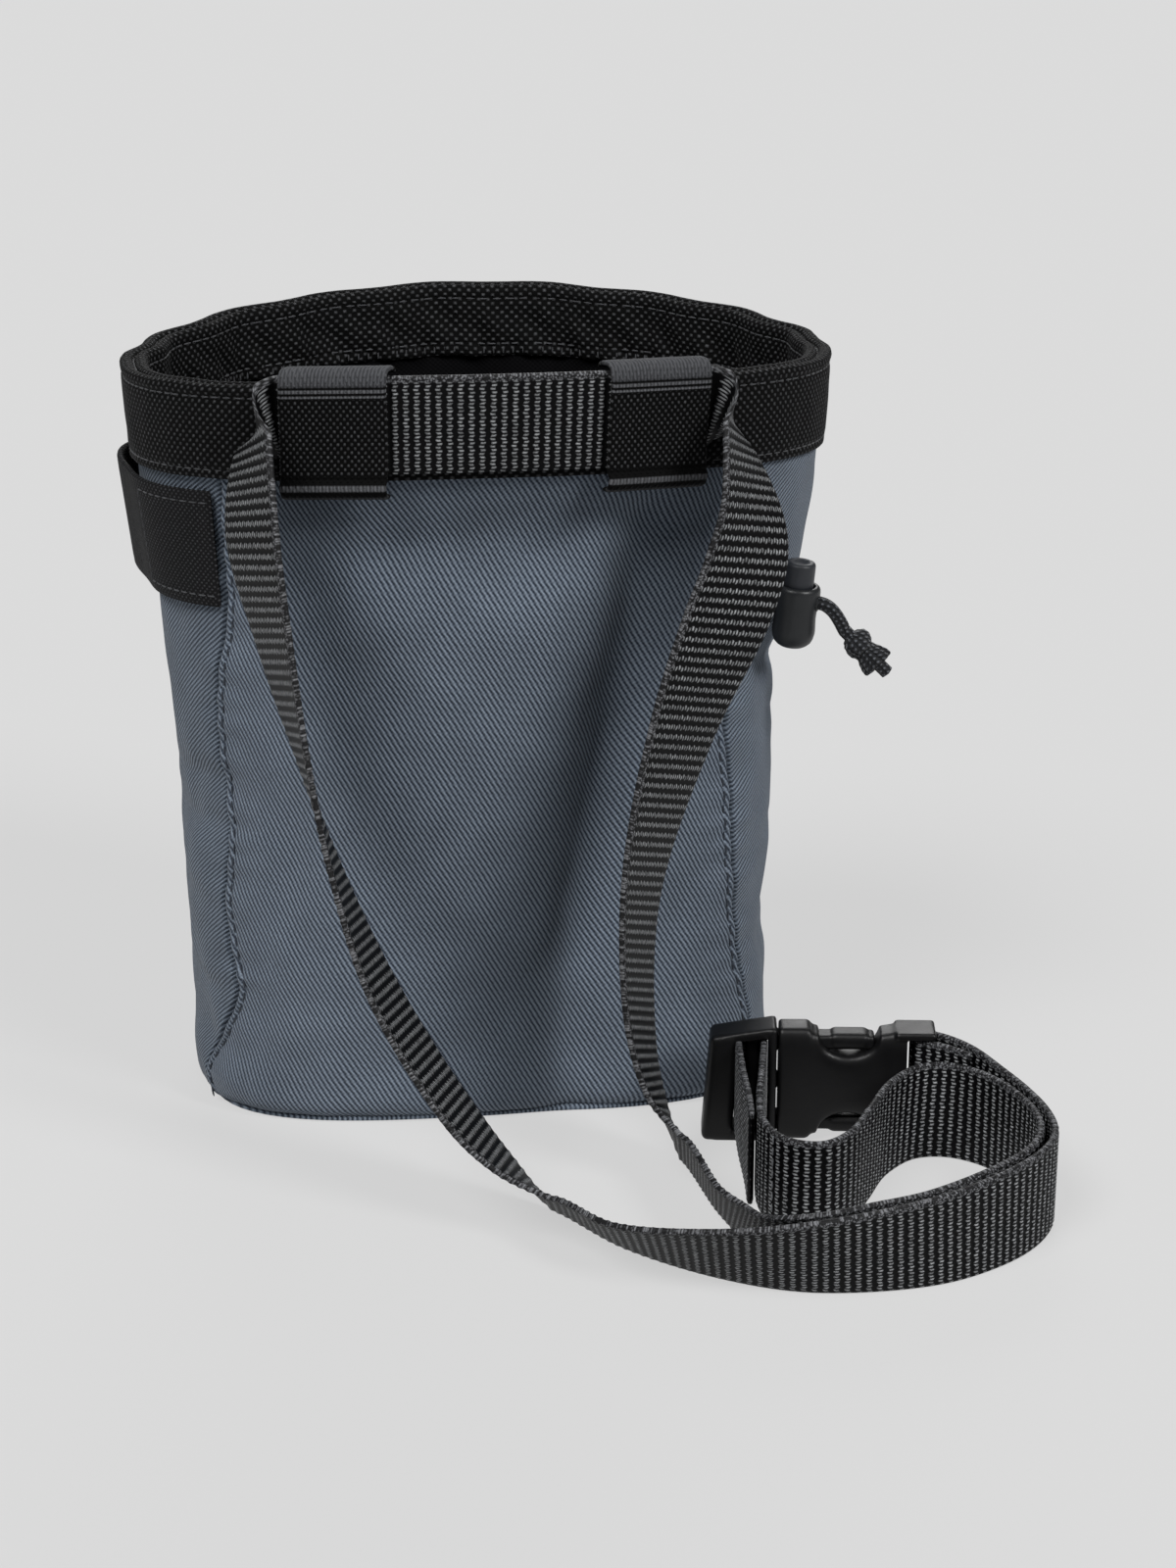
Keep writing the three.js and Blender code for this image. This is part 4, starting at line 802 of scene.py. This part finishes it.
def barBend(share, fromAngle, toAngle):
    radius = buckle["bar"] / 2 + belt["gap"] + belt["thickness"] / 2
    middle = buckleFoot + buckleAlong * share * buckle["length"]
    angles = [math.radians(fromAngle + (toAngle - fromAngle) * i / 6) for i in range(7)]
    spots = [middle + buckleAlong * radius * math.cos(a) + buckleOut * radius * math.sin(a) for a in angles]
    return [(spot, Vector((0, 0, 1))) for spot in spots]


def beltFold(start, side):
    # the belt leaves the loop a little downhill and folds over a steep line, then hangs down
    line = Vector((side * fold["line"][0], *fold["line"][1:])).normalized()
    ahead = Vector((side * fold["ahead"][0], *fold["ahead"][1:])).normalized()
    flat = line * ahead.dot(line)
    turned = ahead - flat
    out = line.cross(turned) * side
    at = start + Vector((0, -fold["out"], 0))
    sweep = math.radians(fold["sweep"]) / 4
    rows = []
    for i in range(1, 5):
        angle, middle = sweep * i, sweep * (i - 0.5)
        way = flat + turned * math.cos(middle) + out * math.sin(middle)
        at = at + way * fold["radius"] * math.sqrt(2) * sweep
        rows.append((at, -flat + turned * math.cos(angle) + out * math.sin(angle)))
    return rows


def turnAcross(across):
    return math.asin(across / sectionAt(round(1 - beltDrop / bag["height"], 5))[0]) / (2 * math.pi)


loopReach = turnAcross(belt["loopSpacing"] / 2 + belt["loopWidth"] / 2)
acrossRows = []
for i in range(11):
    turn = loopReach * (i / 5 - 1)
    upwards = rimPoint(turn, 0) - rimPoint(turn, collar["low"])
    acrossRows.append((rimPoint(turn, beltDrop, beltStand), upwards.normalized()))
mainRows = [buckleRow(buckle["socketBar"], *row) for row in tailEnd] + barBend(buckle["socketBar"], 90, 270)
mainRows += [buckleRow(buckle["socketBar"], *row) for row in outerStart]
mainRows += [floorRow(*row) for row in outerRun]
mainRows += [hangRow(*row) for row in leftHang] + beltFold(acrossRows[0][0], -1)[::-1] + acrossRows
mainRows += beltFold(acrossRows[-1][0], 1) + [hangRow(*row) for row in rightHang]
mainRows += [floorRow(*row) for row in innerRun]
mainRows += [buckleRow(buckle["plugBar"], *row) for row in sewnZone] + barBend(buckle["plugBar"], 0, -180)
mainRows += [buckleRow(buckle["plugBar"], *row) for row in sewnEnd]


def fineRows(rows, step):
    points, edges = [row[0] for row in rows], [row[1] for row in rows]
    fine = []
    for i in range(len(rows) - 1):
        pieces = max(1, round((points[i] - points[i + 1]).length / step))
        for k in range(pieces):
            edge = splinePoint(edges, i + k / pieces, True).normalized()
            fine.append((splinePoint(points, i + k / pieces), edge))
    fine.append((points[-1], edges[-1]))
    return fine


def stripFrames(rows, floor=False):
    # middle, side, face and distance along for each row of a strip
    frames, distance = [], 0.0
    for i, (at, edge) in enumerate(rows):
        if i:
            distance += (at - rows[i - 1][0]).length
        ahead = (rows[min(i + 1, len(rows) - 1)][0] - rows[max(i - 1, 0)][0]).normalized()
        if floor:
            lean = math.sqrt(max(0, 1 - edge.z ** 2))
            low = at.z - edge.z * belt["width"] / 2 - lean * belt["thickness"] / 2
            at = at - Vector((0, 0, min(0, low)))
        frames.append((at, edge, ahead.cross(edge).normalized(), distance))
    return frames


beltFrames = stripFrames(fineRows(mainRows, belt["step"]), floor=True)
beltLength = beltFrames[-1][3]
stripProfile = [(-0.94 + 0.188 * i, -1) for i in range(11)] + [(0.985, -0.8), (1, 0), (0.985, 0.8)]
stripProfile += [(0.94 - 0.188 * i, 1) for i in range(11)] + [(-0.985, 0.8), (-1, 0), (-0.985, -0.8)]


def strip(frames, width, half):
    # a closed strip; half(distance, across) is half its thickness
    def place(u, v):
        at, side, face, distance = frames[round(v * (len(frames) - 1))]
        across, up = stripProfile[round(u * len(stripProfile)) % len(stripProfile)]
        total = frames[-1][3]
        end = min(1.0, (min(distance, total - distance) / 0.6 + 0.02)) ** 0.5
        inset = 0.35 * (1 - end)
        point = at + side * across * (width / 2 - inset) + face * up * half(distance, across) * end
        return point, (distance, (across + 1) * width / 2)

    return sheet(len(stripProfile), len(frames) - 1, place, close=True)


def beltHalf(distance, across):
    rib = 0.5 - 0.5 * math.cos(2 * math.pi * distance / belt["ribPitch"])
    edge = blendStep(abs(across), 0.93, 1.0)
    return belt["thickness"] / 2 - belt["rib"] * (1 - rib) * (1 - edge) - 0.1 * edge


# Nylon belt webbing: ribs across it every 2 mm, filament floats on their crests in a zigzag, lit by a
# painted highlight, dark gaps between them, and a knitted edge on one side
beltWebbing, beltShader = newMaterial("ribbedNylonWebbing", 0.55, 0.0, gloss=0.1)
beltSpot = addNode(beltWebbing, "UVMap", uv_map="weave")
beltParts = addNode(beltWebbing, "SeparateXYZ", {0: beltSpot})
zigSteps = {0: beltParts.outputs[1], 1: 2 * math.pi / 1.7}
zigTurn = addNode(beltWebbing, "Math", zigSteps, operation="MULTIPLY")
zigWave = addNode(beltWebbing, "Math", {0: zigTurn}, operation="SINE")
zigShift = addNode(beltWebbing, "Math", {0: zigWave, 1: 0.16, 2: beltParts.outputs[0]},
                   operation="MULTIPLY_ADD")
zigSpot = addNode(beltWebbing, "CombineXYZ", {0: zigShift, 1: beltParts.outputs[1]})
crest = addNode(beltWebbing, "TexWave", {"Vector": zigSpot, "Scale": wavePeriod / belt["ribPitch"]})
crestRange = {"Value": crest.outputs["Fac"], "From Min": 0.42, "From Max": 0.8}
crestBand = addNode(beltWebbing, "MapRange", crestRange)
strokeLook = {"Vector": beltSpot, "Scale": wavePeriod / 0.74, "Distortion": 0.6}
strokeWave = addNode(beltWebbing, "TexWave", strokeLook, bands_direction="Y")
strokeRange = {"Value": strokeWave.outputs["Fac"], "From Min": 0.25, "From Max": 0.75, "To Min": 0.04}
stroke = addNode(beltWebbing, "MapRange", strokeRange)
beltFloats = addNode(beltWebbing, "Math", {0: crestBand, 1: stroke}, operation="MULTIPLY")
beltNoise = addNode(beltWebbing, "TexNoise", {"Vector": beltSpot, "Scale": 0.8, "Detail": 3})
noiseRange = {"Value": beltNoise, "From Min": 0.3, "From Max": 0.65, "To Min": 0.3}
beltAmount = addNode(beltWebbing, "MapRange", noiseRange)
beltLit = addNode(beltWebbing, "Math", {0: beltFloats, 1: beltAmount}, operation="MULTIPLY")
# the floats' light tone is a painted highlight on the rib crests
floatsPaintedHighlightTones = {0: beltLit, 6: linear("#020203"), 7: linear("#989a9c")}
beltBody = addNode(beltWebbing, "Mix", floatsPaintedHighlightTones, data_type="RGBA")
edgeKnit = addNode(beltWebbing, "TexVoronoi", {"Vector": beltSpot, "Scale": 2.4})
knitRange = {"Value": edgeKnit.outputs["Distance"], "From Min": 0.15, "From Max": 0.6}
edgeDots = addNode(beltWebbing, "MapRange", knitRange)
edgeTones = {0: edgeDots, 6: linear("#6c6d70"), 7: linear("#1a1a1b")}
edgeColour = addNode(beltWebbing, "Mix", edgeTones, data_type="RGBA")
edgeRange = {"Value": beltParts.outputs[1], "From Min": 18.7, "From Max": 19.0}
edgePlace = addNode(beltWebbing, "MapRange", edgeRange)
beltTones = {0: edgePlace, 6: beltBody.outputs[2], 7: edgeColour.outputs[2]}
beltColour = addNode(beltWebbing, "Mix", beltTones, data_type="RGBA")
dress(beltWebbing, beltShader, beltColour, beltFloats, 0.18)

beltForm = strip(beltFrames, belt["width"], beltHalf)
asPiece(beltForm, "belt_strap", beltWebbing, ["waist_belt"])

# The upright row of stitches that fastens the sewn end of the belt, light with painted highlight
sewn = {"spot": (48.6, -82.5, 10), "count": 8, "highest": 8.4, "pitch": 2.4, "length": 1.9}
sewnStitches = bmesh.new()
sewnFrame = min(range(len(beltFrames) * 2 // 3, len(beltFrames)),
                key=lambda i: (beltFrames[i][0] - Vector(sewn["spot"])).length)
at, side, face, _ = beltFrames[sewnFrame]
front = face if face.y < 0 else -face
for i in range(sewn["count"]):
    middle = at + side * (sewn["highest"] - sewn["pitch"] * i) + front * (belt["thickness"] / 2 + 0.05)
    addStitch(sewnStitches, middle, side, front, sewn["length"], cloth["thread"])
asPiece(sewnStitches, "belt_stitching", threadPaintedHighlight)
print("belt ready, length", round(beltLength))

# Belt loops: finer webbing, folded under at its lower end and pressed into ridges, with bands of painted
# highlight and painted shade
# painted bands along the loop: dark for painted shade on the tucked-under end and between the ridges, light
# for painted highlights on the ridges, the lower fold and over the top
loopWebbing = webbing("fineNylonWebbing", 0.85, 0.65, "#030303", "#535456", 1.0, 0.2, paintedLightBands=[
    (22.2, 24.8, "#030303"), (24.6, 30.4, "#47484b"), (23.5, 24.1, "#606164"), (22.5, 22.95, "#606164"),
    (0.0, 6.6, "#030303"), (3.6, 4.5, "#5a5b5e"), (1.6, 2.3, "#3c3d3f"),
])
loop = {"width": 20.5, "thickness": 1.0, "step": 0.4, "ridges": (22.7, 23.8, 25.2), "ridge": 0.14}


def beltLoop(name, middle, node):
    near = 2 * belt["gap"] + collar["thickness"] + loop["thickness"] / 2
    front = beltStand + belt["thickness"] / 2 + belt["gap"] + loop["thickness"] / 2
    under = beltDrop + belt["width"] / 2 + belt["gap"] + loop["thickness"] / 2
    over = beltDrop - belt["width"] / 2 - belt["gap"] - loop["thickness"] / 2
    path = [(under + 3.2, near + 0.2), (under + 3.0, front + 0.2), (under + 0.8, front + 1.1),
            (under - 0.4, front + 0.3), (under - 3.9, front + 0.05), (beltDrop, front), (over + 1, front),
            (over - 0.1, front - 0.9), (over, near - 2.2), (over + 0.9, near - 3.4)]
    turn = turnAcross(middle)
    side = (rimPoint(turn + 0.01, beltDrop) - rimPoint(turn - 0.01, beltDrop)).normalized()
    rows = fineRows([(rimPoint(turn, drop, offset), side) for drop, offset in path], loop["step"])
    frames = stripFrames(rows)

    def half(distance, across):
        ridge = sum(math.exp(-((distance - at) / 0.3) ** 2) for at in loop["ridges"]) * loop["ridge"]
        edge = blendStep(abs(across), 0.93, 1.0)
        return loop["thickness"] / 2 + ridge - 0.12 * edge

    asPiece(strip(frames, loop["width"], half), name, loopWebbing, [node])


beltLoop("loop_left", -belt["loopSpacing"] / 2, "belt_loop_left")
beltLoop("loop_right", belt["loopSpacing"] / 2, "belt_loop_right")
print("belt loops ready")

# Brush holder: a sleeve of webbing on the left side, sewn into both seams and stitched once between
holder = {"height": 0.785, "width": 23.5, "thickness": 1.3, "stand": 5.4, "first": -0.139,
          "last": 0.634 - 1, "margin": 0.004, "stitch": 0.325, "lag": 1.5, "edge": 0.8, "step": 0.6}
# Nylon webbing, plain weave: finer yarn pressed flat, so an even dark grey with small dots
holderWebbing = webbing("plainWeaveNylonWebbing", 0.6, 0.6, "#131314", "#434446", 0.95, 0.16)
holderFirst = holder["first"]
holderLast = holder["last"] + holder["margin"]
holderSeam = holderFirst + holder["stitch"] * (holderLast - holderFirst)
holderRows = []
for i in range(17):
    turn = holderFirst + (holderLast - holderFirst) * i / 16
    opened = max(0, (turn - holderSeam) / (holderLast - holderSeam))
    stand = holder["stand"] * math.sin(math.pi * opened ** holder["lag"]) ** 2
    at = bagPoint(turn, holder["height"], belt["gap"] + holder["thickness"] / 2 + stand)
    edge = bagPoint(turn, holder["height"] + 0.05) - bagPoint(turn, holder["height"] - 0.05)
    holderRows.append((at, edge.normalized()))
holderFrames = stripFrames(fineRows(holderRows, holder["step"]))


def holderHalf(distance, across):
    return holder["thickness"] / 2 - 0.15 * blendStep(abs(across), 0.9, 1.0)


holderForm = strip(holderFrames, holder["width"], holderHalf)
asPiece(holderForm, "brush_sleeve", holderWebbing, ["brush_holder"])
holderStitches = bmesh.new()
seamFrame = round(holder["stitch"] * (len(holderFrames) - 1))


def holderSpot(index, across):
    at, side, face, _ = holderFrames[index]
    outer = face if face.dot(Vector((at.x, at.y, 0))) > 0 else -face
    return at + side * across * holder["width"] / 2 + outer * (holder["thickness"] / 2 + 0.03), outer, side


for across in (holder["edge"], -holder["edge"]):
    for index in range(3, seamFrame, 4):
        spot, outer, side = holderSpot(index, across)
        ahead = holderSpot(index + 1, across)[0] - spot
        addStitch(holderStitches, spot, ahead, outer, 1.9, collar["thread"])
for i in range(9):
    spot, outer, side = holderSpot(seamFrame, 0.72 - 0.18 * i)
    addStitch(holderStitches, spot, side, outer, 1.6, 0.34)
asPiece(holderStitches, "sleeve_stitching", collarThreadPaintedHighlight)

# The buttonhole that the drawcord comes through: a dark slit with a satin-stitched rim
slit = {"height": 107.2, "half": 5.0, "wide": 0.9, "pitch": 0.45, "thread": 0.7}
slitTurn = min((i / 4000 for i in range(400, 1300)), key=lambda t: (
    bagPoint(t, slit["height"] / bag["height"]).xy - cordRoute[0].xy).length)
slitForm, slitRim = bmesh.new(), bmesh.new()


def slitSpot(rise, aside, proud):
    share = (slit["height"] + rise) / bag["height"]
    turn = slitTurn + aside / cloth["perTurn"]
    return bagPoint(turn, share, clothOffset(turn, share) + proud), outwards(turn, share)


spot, outer = slitSpot(0, 0, 0.05)
addStitch(slitForm, spot, slitSpot(1, 0, 0.05)[0] - spot, outer, 2 * slit["half"], slit["thread"])
for side in (-1, 1):
    rise = -slit["half"]
    while rise <= slit["half"]:
        spot, outer = slitSpot(rise, side * slit["wide"], 0.12)
        ahead = slitSpot(rise, side * (slit["wide"] + 0.5), 0.12)[0] - spot
        addStitch(slitRim, spot, ahead, outer, 1.3, cloth["thread"])
        rise += slit["pitch"]
asPiece(slitForm, "cord_slit", liningNylon)
asPiece(slitRim, "cord_slit_rim", stitchDark)
print("brush holder ready")

# Side-release buckle: both halves stand on edge, up to 25 mm high
mould = {"voxel": 0.26, "rounds": 5}
socket = {"shoulder": 12.25, "waist": 11.0, "scoop": 6.25, "heel": 11.75}


def addBlock(form, low, high, round_, segments=3):
    # a block with rounded edges between two corners
    size = Vector(high) - Vector(low)
    place = Matrix.Translation((Vector(low) + Vector(high)) / 2 * mm) @ Matrix.Diagonal((*(size * mm), 1))
    made = bmesh.ops.create_cube(form, size=1, matrix=place)
    edges = list({edge for vert in made["verts"] for edge in vert.link_edges})
    bmesh.ops.bevel(form, geom=edges, offset=round_ * mm, segments=segments, profile=0.5, affect="EDGES",
                    material=-1)


def addLoft(form, ovals, middle, square=6, around=40):
    # rings along X, each with its place along, half height and half thickness
    rings = []
    for along, half, thick in ovals:
        ring = bmesh.ops.create_circle(form, segments=around, radius=1)["verts"]
        for vert in ring:
            angle = math.atan2(vert.co.y, vert.co.x)
            cos, sin = math.cos(angle), math.sin(angle)
            vert.co = Vector((along, thick * math.copysign(abs(cos) ** (2 / square), cos),
                              middle + half * math.copysign(abs(sin) ** (2 / square), sin))) * mm
        rings.append(ring)
    for low, high in zip(rings, rings[1:]):
        edges = {edge for ring in (low, high) for vert in ring for edge in vert.link_edges
                 if edge.other_vert(vert) in ring}
        bmesh.ops.bridge_loops(form, edges=list(edges))
    for ring in (rings[0], rings[-1]):
        bmesh.ops.contextual_create(form, geom=ring)


def fused(form, name, node):
    # joins overlapping parts into one moulded shape with soft inner corners
    bmesh.ops.recalc_face_normals(form, faces=form.faces)
    bmesh.ops.transform(form, matrix=Matrix.Translation(buckleMatrix.translation * mm)
                        @ buckleMatrix.to_3x3().to_4x4(), verts=form.verts)
    piece = asPiece(form, name, acetal, [node])
    merge = piece.modifiers.new("merge", "REMESH")
    merge.mode = "VOXEL"
    merge.voxel_size = mould["voxel"] * mm
    soften = piece.modifiers.new("soften", "SMOOTH")
    soften.factor = 0.5
    soften.iterations = mould["rounds"]
    bpy.context.view_layer.update()
    evaluated = piece.evaluated_get(bpy.context.evaluated_depsgraph_get())
    mesh = bpy.data.meshes.new_from_object(evaluated)
    piece.modifiers.clear()
    piece.data = mesh
    for polygon in mesh.polygons:
        polygon.use_smooth = True


plugBar = buckle["plugBar"] * buckle["length"]
plugEnd = buckle["plugEnd"] * buckle["length"]
socketBar = buckle["socketBar"] * buckle["length"]
armEnd = buckle["armEnd"] * buckle["length"]
half = buckle["thickness"] / 2
wide = buckle["width"]
plugForm = bmesh.new()
addBlock(plugForm, (0, -half, 0), (plugBar - 3.5, half, wide), 1.3)
addBlock(plugForm, (2, -half + 0.2, 0), (plugEnd, half - 0.2, 2.3), 0.7)
addBlock(plugForm, (2, -half + 0.2, 22.7), (plugEnd, half - 0.2, wide), 0.7)
addBlock(plugForm, (plugBar + 3.4, -half, 0.2), (plugEnd, half, 24.8), 0.55)
addBlock(plugForm, (plugBar - 1.5, -1.5, 1), (plugBar + 1.5, 1.5, 24), 0.9)
for side in (-1, 1):
    middle = wide / 2 + side * 8.85
    addBlock(plugForm, (plugEnd - 1, -2.2, middle - 1.5), (armEnd, 2.2, middle + 1.5), 0.7)
    tip = middle + side * 0.4
    addBlock(plugForm, (armEnd - 9, -2.6, tip - 1.6), (armEnd - 1, 2.6, tip + 1.6), 1.2)
addBlock(plugForm, (plugEnd - 1, -1.1, 11), (armEnd, 1.1, 14), 0.5)
for vert in plugForm.verts:  # the plug's end leans and slopes a little
    share = 1 - blendStep(vert.co.x / mm, 0, plugEnd)
    vert.co.x += share * 1.6 * mm * max(0, vert.co.z / mm - 2) / 23
    vert.co.z -= share * 1.9 * mm * max(0, vert.co.z / mm - 14) / 11
fused(plugForm, "buckle_prong_half", "buckle_plug")

socketForm = bmesh.new()
shoulder = buckle["shoulder"] * buckle["length"]
windowEnd = buckle["windowEnd"] * buckle["length"]
scoopMiddle = (shoulder + windowEnd) / 2
scoopHalf = (windowEnd - shoulder) * 0.38
waist = socket["waist"]
bodyRows = [  # place along, half height, half thickness
    (15.25, 11.9, 3.5), (15.7, 12.2, 3.8), (shoulder - 0.6, socket["shoulder"], 3.8),
    (shoulder, 12.0, 3.8), (shoulder + 0.7, 11.2, 3.75), (scoopMiddle - scoopHalf - 0.2, waist, 3.7),
]
for i in range(1, 12):
    angle = math.pi * i / 12
    dip = (waist - socket["scoop"]) * math.sin(angle)
    bodyRows.append((scoopMiddle - scoopHalf * math.cos(angle), waist - dip, 3.7))
bodyRows += [
    (scoopMiddle + scoopHalf + 0.2, waist, 3.7), (windowEnd + 0.6, 11.4, 3.75),
    (windowEnd + 1.6, socket["heel"], 3.8), (socketBar - 3.6, socket["heel"], 3.8),
]
addLoft(socketForm, bodyRows, wide / 2)
addBlock(socketForm, (socketBar - 6, -half, 0.75), (buckle["length"], half, 2.35), 0.6)
addBlock(socketForm, (socketBar - 6, -half, 22.65), (buckle["length"], half, 24.25), 0.6)
addBlock(socketForm, (socketBar - 1.5, -1.5, 1.2), (socketBar + 1.5, 1.5, 23.8), 0.9)
fused(socketForm, "buckle_socket_half", "buckle_socket")
print("buckle ready")

# Paper backdrop, lit from below like a light table, so pale and even, with only a faint shadow
floorLook = {"tone": "#5b5b5b", "shade": "#595959", "glow": 0.555, "half": 12}
floorMaterial, floorShader = newMaterial("paperBackdrop", 0.95, gloss=0.0)
floorSpot = addNode(floorMaterial, "TexCoord").outputs["Object"]
floorNoise = addNode(floorMaterial, "TexNoise", {"Vector": floorSpot, "Scale": 900, "Detail": 2})
floorTones = {0: floorNoise, 6: linear(floorLook["shade"]), 7: linear(floorLook["tone"])}
floorColour = addNode(floorMaterial, "Mix", floorTones, data_type="RGBA")
floorMaterial.node_tree.links.new(floorColour.outputs[2], floorShader.inputs["Base Color"])
floorShader.inputs["Emission Color"].default_value = (1, 1, 1, 1)
floorShader.inputs["Emission Strength"].default_value = floorLook["glow"]
floorForm = bmesh.new()
bmesh.ops.create_grid(floorForm, x_segments=2, y_segments=2, size=floorLook["half"])
floorMesh = bpy.data.meshes.new("floor")
floorForm.to_mesh(floorMesh)
floorForm.free()
floorMesh.materials.append(floorMaterial)
floor = bpy.data.objects.new("floor", floorMesh)
bpy.context.scene.collection.objects.link(floor)

# Light: a faint white sky and three softboxes
sky = {"strength": 0.12, "lampsAway": 2}
world = bpy.data.worlds.new("studio")
world.use_nodes = True
world.node_tree.nodes["Background"].inputs[0].default_value = (1, 1, 1, 1)
world.node_tree.nodes["Background"].inputs[1].default_value = sky["strength"]
bpy.context.scene.world = world
softboxes = {  # azimuth from the belt side towards +X, elevation, strength, and how wide it looks, in degrees
    "right": (45, 40, 2.5, 18),
    "left": (-48, 54, 2.8, 26),
    "back": (172, 30, 1.1, 30),
}
for name, (azimuth, elevation, strength, spread) in softboxes.items():
    light = bpy.data.lights.new(name, "SUN")
    light.energy = strength
    light.angle = math.radians(spread)
    lamp = bpy.data.objects.new(name, light)
    a = math.radians(azimuth)
    e = math.radians(elevation)
    towards = Vector((math.sin(a) * math.cos(e), -math.cos(a) * math.cos(e), math.sin(e)))
    lamp.location = towards * sky["lampsAway"]
    lamp.rotation_euler = towards.to_track_quat("Z", "Y").to_euler()
    bpy.context.scene.collection.objects.link(lamp)
print("stage ready")
